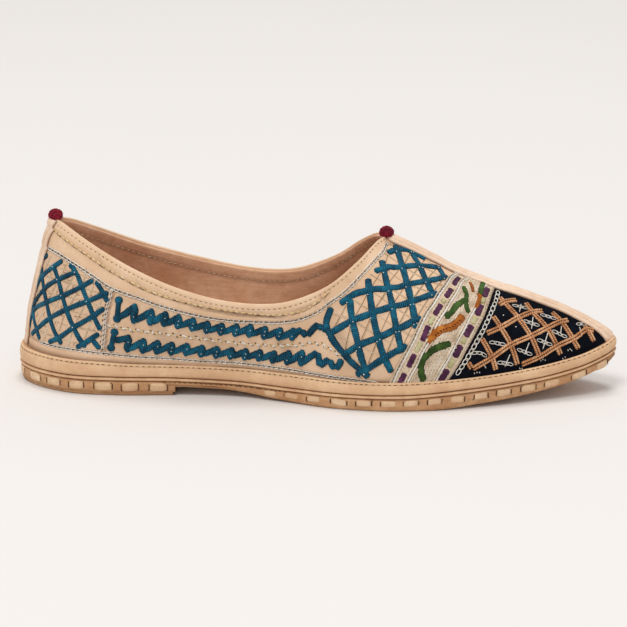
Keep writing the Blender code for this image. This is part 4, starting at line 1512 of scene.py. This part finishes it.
def below_edge(columns, depth):
    """Places on the leather at a distance down from its top edge, at each column."""
    rows = [np.interp(skin_rise[c, -1] - depth, skin_rise[c], np.arange(ROWS + 1))
            for c in columns]
    return np.column_stack([columns, rows])


def panel_chains():
    """Chain stitch along the collar, the heel panel, the lower edge and between the waves."""
    white, ink, straw, brown = (new_piece() for _ in range(4))
    twisted_chain(white, ink, COLLAR_LINE)
    twisted_chain(white, ink, BOTTOM_LINE[1:], width=1.2, length=2.8, thick=0.46)
    twisted_chain(white, ink, HEEL_SEAM, width=1.1, length=2.7, thick=0.42)
    middle = stitched(MIDDLE_LINE, 0.6, 0.08)
    wiggle = 0.35 * np.sin(lengths(middle[0]) * 2 * math.pi / 5.2)
    middle = shifted(middle, wiggle)
    stitches(white, middle, 3.5, 2.1, 0.8, height=0.55, lean=0.8, jitter=0.25)
    stitches(straw, middle, 3.5, 1.7, 0.7, height=0.5, lean=-0.9, phase=0.5, jitter=0.3)
    stitches(brown, middle, 3.5, 1.0, 0.42, height=0.3, aside=0.45, lean=0.6, phase=0.3, jitter=0.3)
    stitches(brown, middle, 3.5, 0.9, 0.40, height=0.3, aside=-0.5, lean=0.6, phase=0.8, jitter=0.3)
    heel_seam = shifted(stitched(HEEL_SEAM, 0.6, 0.05), 1.25)
    stitches(brown, heel_seam, 2.4, 1.5, 0.4, height=0.22)
    fold = stitched(FOLD_LINE, 0.6, 0.02, end=0.955)
    stitches(straw, shifted(fold, -0.3, 0.4), 2.7, 2.45, 0.8, height=0.5, jitter=0.12)
    # Thin brown dashes beside the straw line are painted shade of the fold's groove.
    stitches(brown, shifted(fold, 0.45), 5.4, 2.4, 0.2, height=0.1, phase=0.25, jitter=0.3)
    hem = np.arange(throat_column + 2, COLUMNS - 2)
    edge = on_skin(below_edge(hem, COLLAR_STITCH_DEPTH))
    taupe = new_piece()
    stitches(taupe, edge, 2.35, 1.25, 0.46, height=0.18, jitter=0.2)
    put("collar_edge_stitch", taupe, taupe_finish, "tan_thread")
    put("white_chain_stitch", white, white_finish, "pale_thread")
    put("ink_whip_stitch", ink, ink_finish, "coloured_thread")
    put("straw_running_stitch", straw, gold_finish, "tan_thread")
    put("brown_stitches_and_fold_shade", brown, brown_finish, "tan_thread")


def lining_stitching():
    """A line of stitches round the inside of the collar, 5 mm under its edge."""
    mesh_data = new_piece()
    columns = np.arange(throat_column + 2, COLUMNS - 1)
    spots = below_edge(columns, LINING_STITCH_DEPTH)
    out = sampled(skin_out, spots)
    points = sampled(base_skin, spots) - out * WALL
    stitches(mesh_data, (points, -out), 2.6, 1.8, 0.42, height=0.2, jitter=0.2)
    put("lining_running_stitch", mesh_data, beige_finish, "tan_thread")


# ---------------------------------------------------------------- trim band and toe panel

PANEL_ROWS = np.linspace(0, ROWS, 73)


def trim_columns(share):
    """The columns of an upright line on the trim band, at a share of its width."""
    back, front = (columns_of(line, PANEL_ROWS) for line in (TRIM_BACK, TRIM_FRONT))
    return back + (front - back) * share


def toe_columns(share):
    """The columns of an upright line on the toe panel, at a share of the way to the toe."""
    return columns_of(TRIM_FRONT, PANEL_ROWS) * (1 - share)


def band_path(share, lift, start=0.06, end=0.985, step=0.6):
    """A path along the trim band, from the rand to the ridge."""
    dense = np.column_stack([trim_columns(share), PANEL_ROWS])
    run = lengths(on_skin(dense)[0])
    places = np.linspace(start, end, int(run[-1] * (end - start) / step)) * run[-1]
    return on_skin(np.stack([np.interp(places, run, part) for part in dense.T], axis=-1), lift)


# How far a cloth's edges and its underside are sunk into the leather.
CLOTH_EDGE_SINK = 0.05
CLOTH_UNDER_SINK = 0.1


def patch(name, shares, columns_at, lift, finish, slot, edge_fall):
    """A thin sheet on the leather between two upright lines, from feather edge to ridge."""
    table = []
    for share in shares:
        spots = np.column_stack([columns_at(share), PANEL_ROWS])
        fall = min(1.0, min(share, 1 - share) / edge_fall) if edge_fall else 1.0
        height = -CLOTH_EDGE_SINK + (lift + CLOTH_EDGE_SINK) * math.sqrt(fall)
        table.append(on_skin(spots, height)[0])
    table = np.array(table)
    table[:, -1, 1] = 0
    below = np.array([
        on_skin(np.column_stack([columns_at(s), PANEL_ROWS]), -CLOTH_UNDER_SINK)[0]
        for s in shares
    ])
    below[:, -1, 1] = 0
    ring = np.concatenate([table, below[::-1], table[:1]])
    marks = np.zeros_like(ring)
    marks[..., 2] = 0.5
    mesh_data = new_piece()
    lay(mesh_data, ring, marks)
    return put(name, mesh_data, finish, slot)


# Motifs on the trim band: marks as (x, z), and widths in mm.
PLUM_BACK = [(63.6, 51.2), (60.6, 48), (56.4, 42.8), (50.6, 34.5), (45.2, 23), (41.2, 14.5)]
PLUM_FRONT = [(78, 45.6), (74.6, 40.7), (69.6, 34), (64.8, 26.4), (57.8, 16.5)]


def rail(plum, lime, share, centres, length, width):
    """A rail of satin blocks along the band: plum ones, with lime ones between them."""
    path = band_path(share, 0.42, 0.04, 0.99, 0.4)
    at = lengths(path[0])
    places = sorted(at[int(np.argmin(np.linalg.norm(path[0][:, [0, 2]] - c, axis=1)))]
                    for c in np.array(centres, float))
    for place in places:
        size = length * (1 + 0.1 * chance.uniform(-1, 1))
        cord(plum, piece_of(path, place - size / 2, place + size / 2), width, 0.55, ragged=0.09,
             tips=(0.5, 0.5))
    for place, after in zip([places[0] - 8, *places], [*places, places[-1] + 8]):
        start, end = place + length / 2 + 0.5, after - length / 2 - 0.5
        start, end = max(start, 0.3), min(end, at[-1] - 0.2)
        if end - start > 1.2:
            cord(lime, piece_of(path, start, end), width * 0.82, 0.42, ragged=0.09,
                 tips=(0.5, 0.5))


def trim_band():
    """The cream band across the vamp: cords, block rails, chain-stitched ground and leaves."""
    patch("trim_cloth", np.linspace(0, 1, 25), trim_columns, 0.35, trim_finish, "trim_cloth", 0.04)
    cream, plum, lime, white, lilac, green, orange, brown, rust = (new_piece() for _ in range(9))
    rail(plum, lime, 0.165, PLUM_BACK, 7.2, 2.6)
    rail(plum, lime, 0.845, PLUM_FRONT, 6.6, 3.0)
    for share, size in ((0.0, 0.85), (0.05, 0.85), (0.235, 0.75), (0.285, 0.9), (0.33, 0.75),
                        (0.755, 0.9), (0.71, 0.75), (0.935, 0.7)):
        path = band_path(share, 0.32)
        sway = 0.12 * np.sin(lengths(path[0]) / 2.1 + 9 * share)
        cord(white if share in (0.05, 0.285, 0.755) else cream, shifted(path, sway), size, 0.6,
             sides=6, ragged=0.14)
    for share in (0.025, 0.26, 0.733):
        stitches(brown, band_path(share, 0.4), 1.9, 0.7, 0.3, height=0.2, jitter=0.3)
    for number, share in enumerate(np.arange(0.365, 0.7, 0.042)):
        path = band_path(share, 0.3)
        sway = 0.22 * np.sin(lengths(path[0]) / 1.7 + 5 * number)
        chain(cream, shifted(path, sway), 2.3, 1.45, 0.5, pitch=1.75)
        # Lilac dashes beside each chain are painted shade in the chain-stitched ground.
        stitches(lilac, shifted(path, sway + 0.5), 4.1, 1.5, 0.32, height=0.22, lean=0.4,
                 phase=0.37 * (number % 3), jitter=0.5)
    for share in (0.075, 0.11, 0.215, 0.79, 0.9, 0.93, 0.965):
        stitches(cream, band_path(share, 0.33), 2.1, 1.75, 0.62, height=0.3, jitter=0.15,
                 phase=chance.random())
    lift = 0.5
    cord(green, stitched([(66.3, 49.2), (68, 46.4), (67.8, 43.8), (69.2, 40)], 0.5, lift), 2.6,
         0.6, ragged=0.14, tips=(0.8, 1.0))
    cord(green, stitched([(68, 44.8), (64.5, 43.6), (61.5, 41.2), (59, 39.3)], 0.5, lift), 3.1, 0.6,
         ragged=0.14, tips=(0.8, 1.8))
    cord(green, stitched([(62, 29.6), (58.5, 28.9), (54.8, 27.6), (51.4, 25), (49.4, 21.8),
                          (49.2, 18), (50.4, 13.5)], 0.5, lift), 3.3, 0.65, ragged=0.14,
         tips=(1.2, 1.0))
    cord(orange, stitched([(52, 29.8), (54, 33), (57.5, 35.3), (62, 36), (65.6, 38.4),
                           (67, 39.6)], 0.5, lift), 3.9, 0.65, ragged=0.12, tips=(4.4, 1.4))
    stitches(rust, stitched([(54.6, 33), (58, 35.1), (62, 35.9), (65.6, 38)], 0.5, lift + 0.55),
             1.5, 1.1, 0.7, height=0.22, lean=0.9)
    cord(orange, stitched([(69, 50), (70.4, 48.4), (70.8, 46.6)], 0.4, lift), 1.8, 0.5,
         ragged=0.08)
    cord(orange, stitched([(73.9, 46), (73.4, 43.6), (72, 41.4)], 0.4, lift), 2.6, 0.6,
         ragged=0.08, tips=(0.5, 1.8))
    cord(green, stitched([(75.4, 49), (74.6, 47.4), (74, 45.4)], 0.4, lift + 0.1), 2.6, 0.65,
         ragged=0.08)
    put("trim_cream_stitches", cream, cream_finish, "trim_cloth")
    put("trim_plum_blocks", plum, purple_finish, "coloured_thread")
    put("trim_lime_blocks", lime, lime_finish, "coloured_thread")
    put("trim_white_cords", white, white_finish, "pale_thread")
    put("trim_lilac_shade_dashes", lilac, lilac_finish, "coloured_thread")
    put("trim_green_leaves", green, green_finish, "coloured_thread")
    put("trim_orange_leaves", orange, orange_finish, "coloured_thread")
    put("trim_brown_dots", brown, brown_finish, "coloured_thread")
    put("trim_leaf_veins", rust, rust_finish, "coloured_thread")


# Bars on the black toe panel, as (x, z): the upright ones first, then the ones across.
TOE_UPRIGHTS = 7
TOE_BARS = [
    [(82.6, 44), (85.6, 41.6), (91.1, 36.6), (97, 29), (100.8, 20.8)],
    [(80, 38.2), (83.3, 34.1), (88.1, 26.7), (91.3, 17.8)],
    [(75.2, 30.4), (77.8, 26.4), (80.1, 21.9), (81.8, 16.4)],
    [(69.5, 21.2), (71.3, 18)],
    [(94.2, 41.2), (97.8, 37.6), (104, 31.8), (108.6, 24.2), (110.4, 20.2)],
    [(106, 37), (110.8, 32.9), (114, 28.9), (116.7, 24.6), (118.4, 21.9)],
    [(120.6, 30.6), (123.5, 27), (125.2, 24)],
    [(82.3, 41.6), (86, 42.4), (90.5, 42.2)],
    [(77.2, 32), (83.3, 33.8), (91.1, 36.6), (98.2, 37.9), (102.3, 37.6)],
    [(71.4, 17.9), (79.6, 22), (88.1, 26.7), (97, 29.4), (104, 31.8), (110.4, 33.4), (113.6, 33.4)],
    [(92.9, 17.8), (100.8, 20.4), (108.6, 24.2), (116.7, 26.8), (122.6, 29), (125.2, 28)],
]
TOE_LOOPS = [
    [(78.6, 28.7), (86.2, 26.8)], [(70.8, 24.9), (74.5, 24.6), (78.2, 22.6)],
    [(90.8, 24.7), (98.4, 21.2)], [(82.4, 20), (89.3, 18.2)], [(99.6, 27.8), (106.8, 24.6)],
    [(93.5, 35.4), (101.8, 32.4)], [(88.4, 41), (95.5, 39.2)], [(100.9, 36.8), (108.2, 34.4)],
    [(106.3, 30.6), (113.8, 26.8)], [(117, 31.6), (122, 30.6)],
]
TOE_THREADS = [
    [(87.9, 22.9), (85.6, 17.6)], [(96.2, 27), (94.2, 22)], [(104.4, 30), (102.2, 23.4)],
    [(97.7, 36.4), (97, 31.8)], [(92.4, 41), (91.6, 38.4)], [(110.4, 32), (110, 28.7)],
    [(75.8, 20.8), (77.5, 17.6)], [(118.5, 30.6), (119.5, 26.6)],
]
TOE_EDGE_CHAIN = [(82.2, 45.6), (81.4, 43.6), (78.9, 39), (75.8, 33.4), (71.8, 27.2), (68, 21),
                  (63.9, 14.6)]
TOE_DOTS = [(84.5, 38), (90.1, 33.4)]
TOE_TICKS = [(72.3, 16.4), (73.4, 16.8), (74.5, 16.6), (92.2, 16.6), (93.2, 16.4), (101.4, 19.2),
             (102.3, 19.6), (103.3, 19.2), (111.2, 18.9), (112.2, 19.4), (113.4, 22.4),
             (114.3, 22.8), (115, 22.2)]


def toe_panel():
    """The black cloth over the toe, with its copper grid and white chain work."""
    patch("toe_cloth", np.linspace(0, 1, 61) ** 0.8, toe_columns, 0.28, toe_finish, "toe_cloth", 0)
    copper, brown, white = new_piece(), new_piece(), new_piece()
    for number, line in enumerate(TOE_BARS):
        path = stitched(line, 0.6, 0.3)
        high = 0.62 if number < TOE_UPRIGHTS else 0.8
        for aside in (-0.62, 0.62):
            cord(copper, shifted(path, aside), 1.2, high, sides=6, ragged=0.14, tips=(0.6, 0.6))
        stitches(brown, shifted(path, 0.0, high * 0.66), 1.7, 0.75, 0.36, height=0.22, jitter=0.25,
                 phase=0.4)
    for line in TOE_LOOPS:
        path = stitched(line, 0.5, 0.3)
        chain(white, path, 3.2, 1.35, 0.34, pitch=2.2)
    for line in TOE_THREADS:
        cord(white, stitched(line, 0.5, 0.35), 0.42, 0.34, sides=5)
    chain(white, stitched(TOE_EDGE_CHAIN, 0.5, 0.3), 3.4, 1.75, 0.42, pitch=2.6)
    for x, z in TOE_DOTS:
        centre, out = on_skin(spot(x, z), 0.3)
        knot(white, centre, out, 0.34)
    for x, z in TOE_TICKS:
        cord(white, stitched([(x, z), (x + 0.25, z - 1.0)], 0.3, 0.3), 0.4, 0.3, sides=5)
    put("toe_copper_bars", copper, copper_finish, "tan_thread")
    put("toe_brown_dots", brown, brown_finish, "tan_thread")
    put("toe_white_chains", white, white_finish, "pale_thread")


# ---------------------------------------------------------------- floor, light and camera

def soft_light(name, place, aim, size, power, colour):
    """A large soft box aimed at a point."""
    data = bpy.data.lights.new(name, "AREA")
    data.shape, data.size, data.energy = "DISK", size, power
    data.color = linear(colour)[:3]
    lamp = bpy.data.objects.new(name, data)
    lamp.location = place
    lamp.rotation_mode = "QUATERNION"
    lamp.rotation_quaternion = (Vector(place) - Vector(aim)).to_track_quat("Z", "Y")
    bpy.context.scene.collection.objects.link(lamp)


# The camera stands 1 m from its aim, turned and raised in degrees. Its lens is in mm.
CAMERA_TURN, CAMERA_RISE = 4.5, 17.0
CAMERA_AIM = (-0.0007, 0.0, 0.0321)
CAMERA_LENS, SENSOR_WIDTH = 126.98, 36.0
LIGHT_AIM = (0, 0, 0.03)


def studio():
    """Pale paper under two soft boxes, one overhead and one in front to the left, and a camera."""
    floor_data = bmesh.new()
    bmesh.ops.create_grid(floor_data, x_segments=2, y_segments=2, size=9.0)
    mesh = bpy.data.meshes.new("paper_floor")
    floor_data.to_mesh(mesh)
    floor_data.free()
    mesh.materials.append(plain_paper())
    floor = bpy.data.objects.new("paper_floor", mesh)
    bpy.context.scene.collection.objects.link(floor)
    world = bpy.data.worlds.new("soft_room")
    world.use_nodes = True
    sky = world.node_tree.nodes["Background"]
    sky.inputs["Color"].default_value = linear("#f7f6f5")
    sky.inputs["Strength"].default_value = 0.66
    bpy.context.scene.world = world
    soft_light("key_softbox", (0.1, 0.5, 3.6), LIGHT_AIM, 1.3, 36.0, "#fffdfa")
    soft_light("fill_softbox", (-0.7, -1.7, 3.4), LIGHT_AIM, 1.5, 50.0, "#fffdfa")
    view = bpy.data.cameras.new("camera")
    view.lens, view.sensor_width = CAMERA_LENS, SENSOR_WIDTH
    turn, rise = math.radians(CAMERA_TURN), math.radians(CAMERA_RISE)
    back = Vector((math.sin(turn) * math.cos(rise), -math.cos(turn) * math.cos(rise),
                   math.sin(rise)))
    camera = bpy.data.objects.new("camera", view)
    camera.location = Vector(CAMERA_AIM) + back
    camera.rotation_mode = "QUATERNION"
    camera.rotation_quaternion = back.to_track_quat("Z", "Y")
    bpy.context.scene.collection.objects.link(camera)
    bpy.context.scene.camera = camera
    bpy.context.scene.view_settings.view_transform = "Standard"


upper()
lining()
insole()
outsole()
heel_lift()
midsole()
rand()
rand_stitching()
edge_laces()
ridge_strip()
back_strip()
pompom("throat_pompom_yarn", "throat_pompom", THROAT_SEAT, POMPOM_RADIUS)
pompom("back_pompom_yarn", "back_pompom", BACK_SEAT, POMPOM_RADIUS)
lattice("heel_lattice", HEEL_UPRIGHTS, HEEL_SLANTS, HEEL_BAR_WIDTH)
lattice("vamp_lattice", VAMP_UPRIGHTS, VAMP_CROSSWAYS, VAMP_BAR_WIDTH)
wavy_rows()
cell_crosses()
crossing_knots()
panel_chains()
lining_stitching()
trim_band()
toe_panel()
studio()
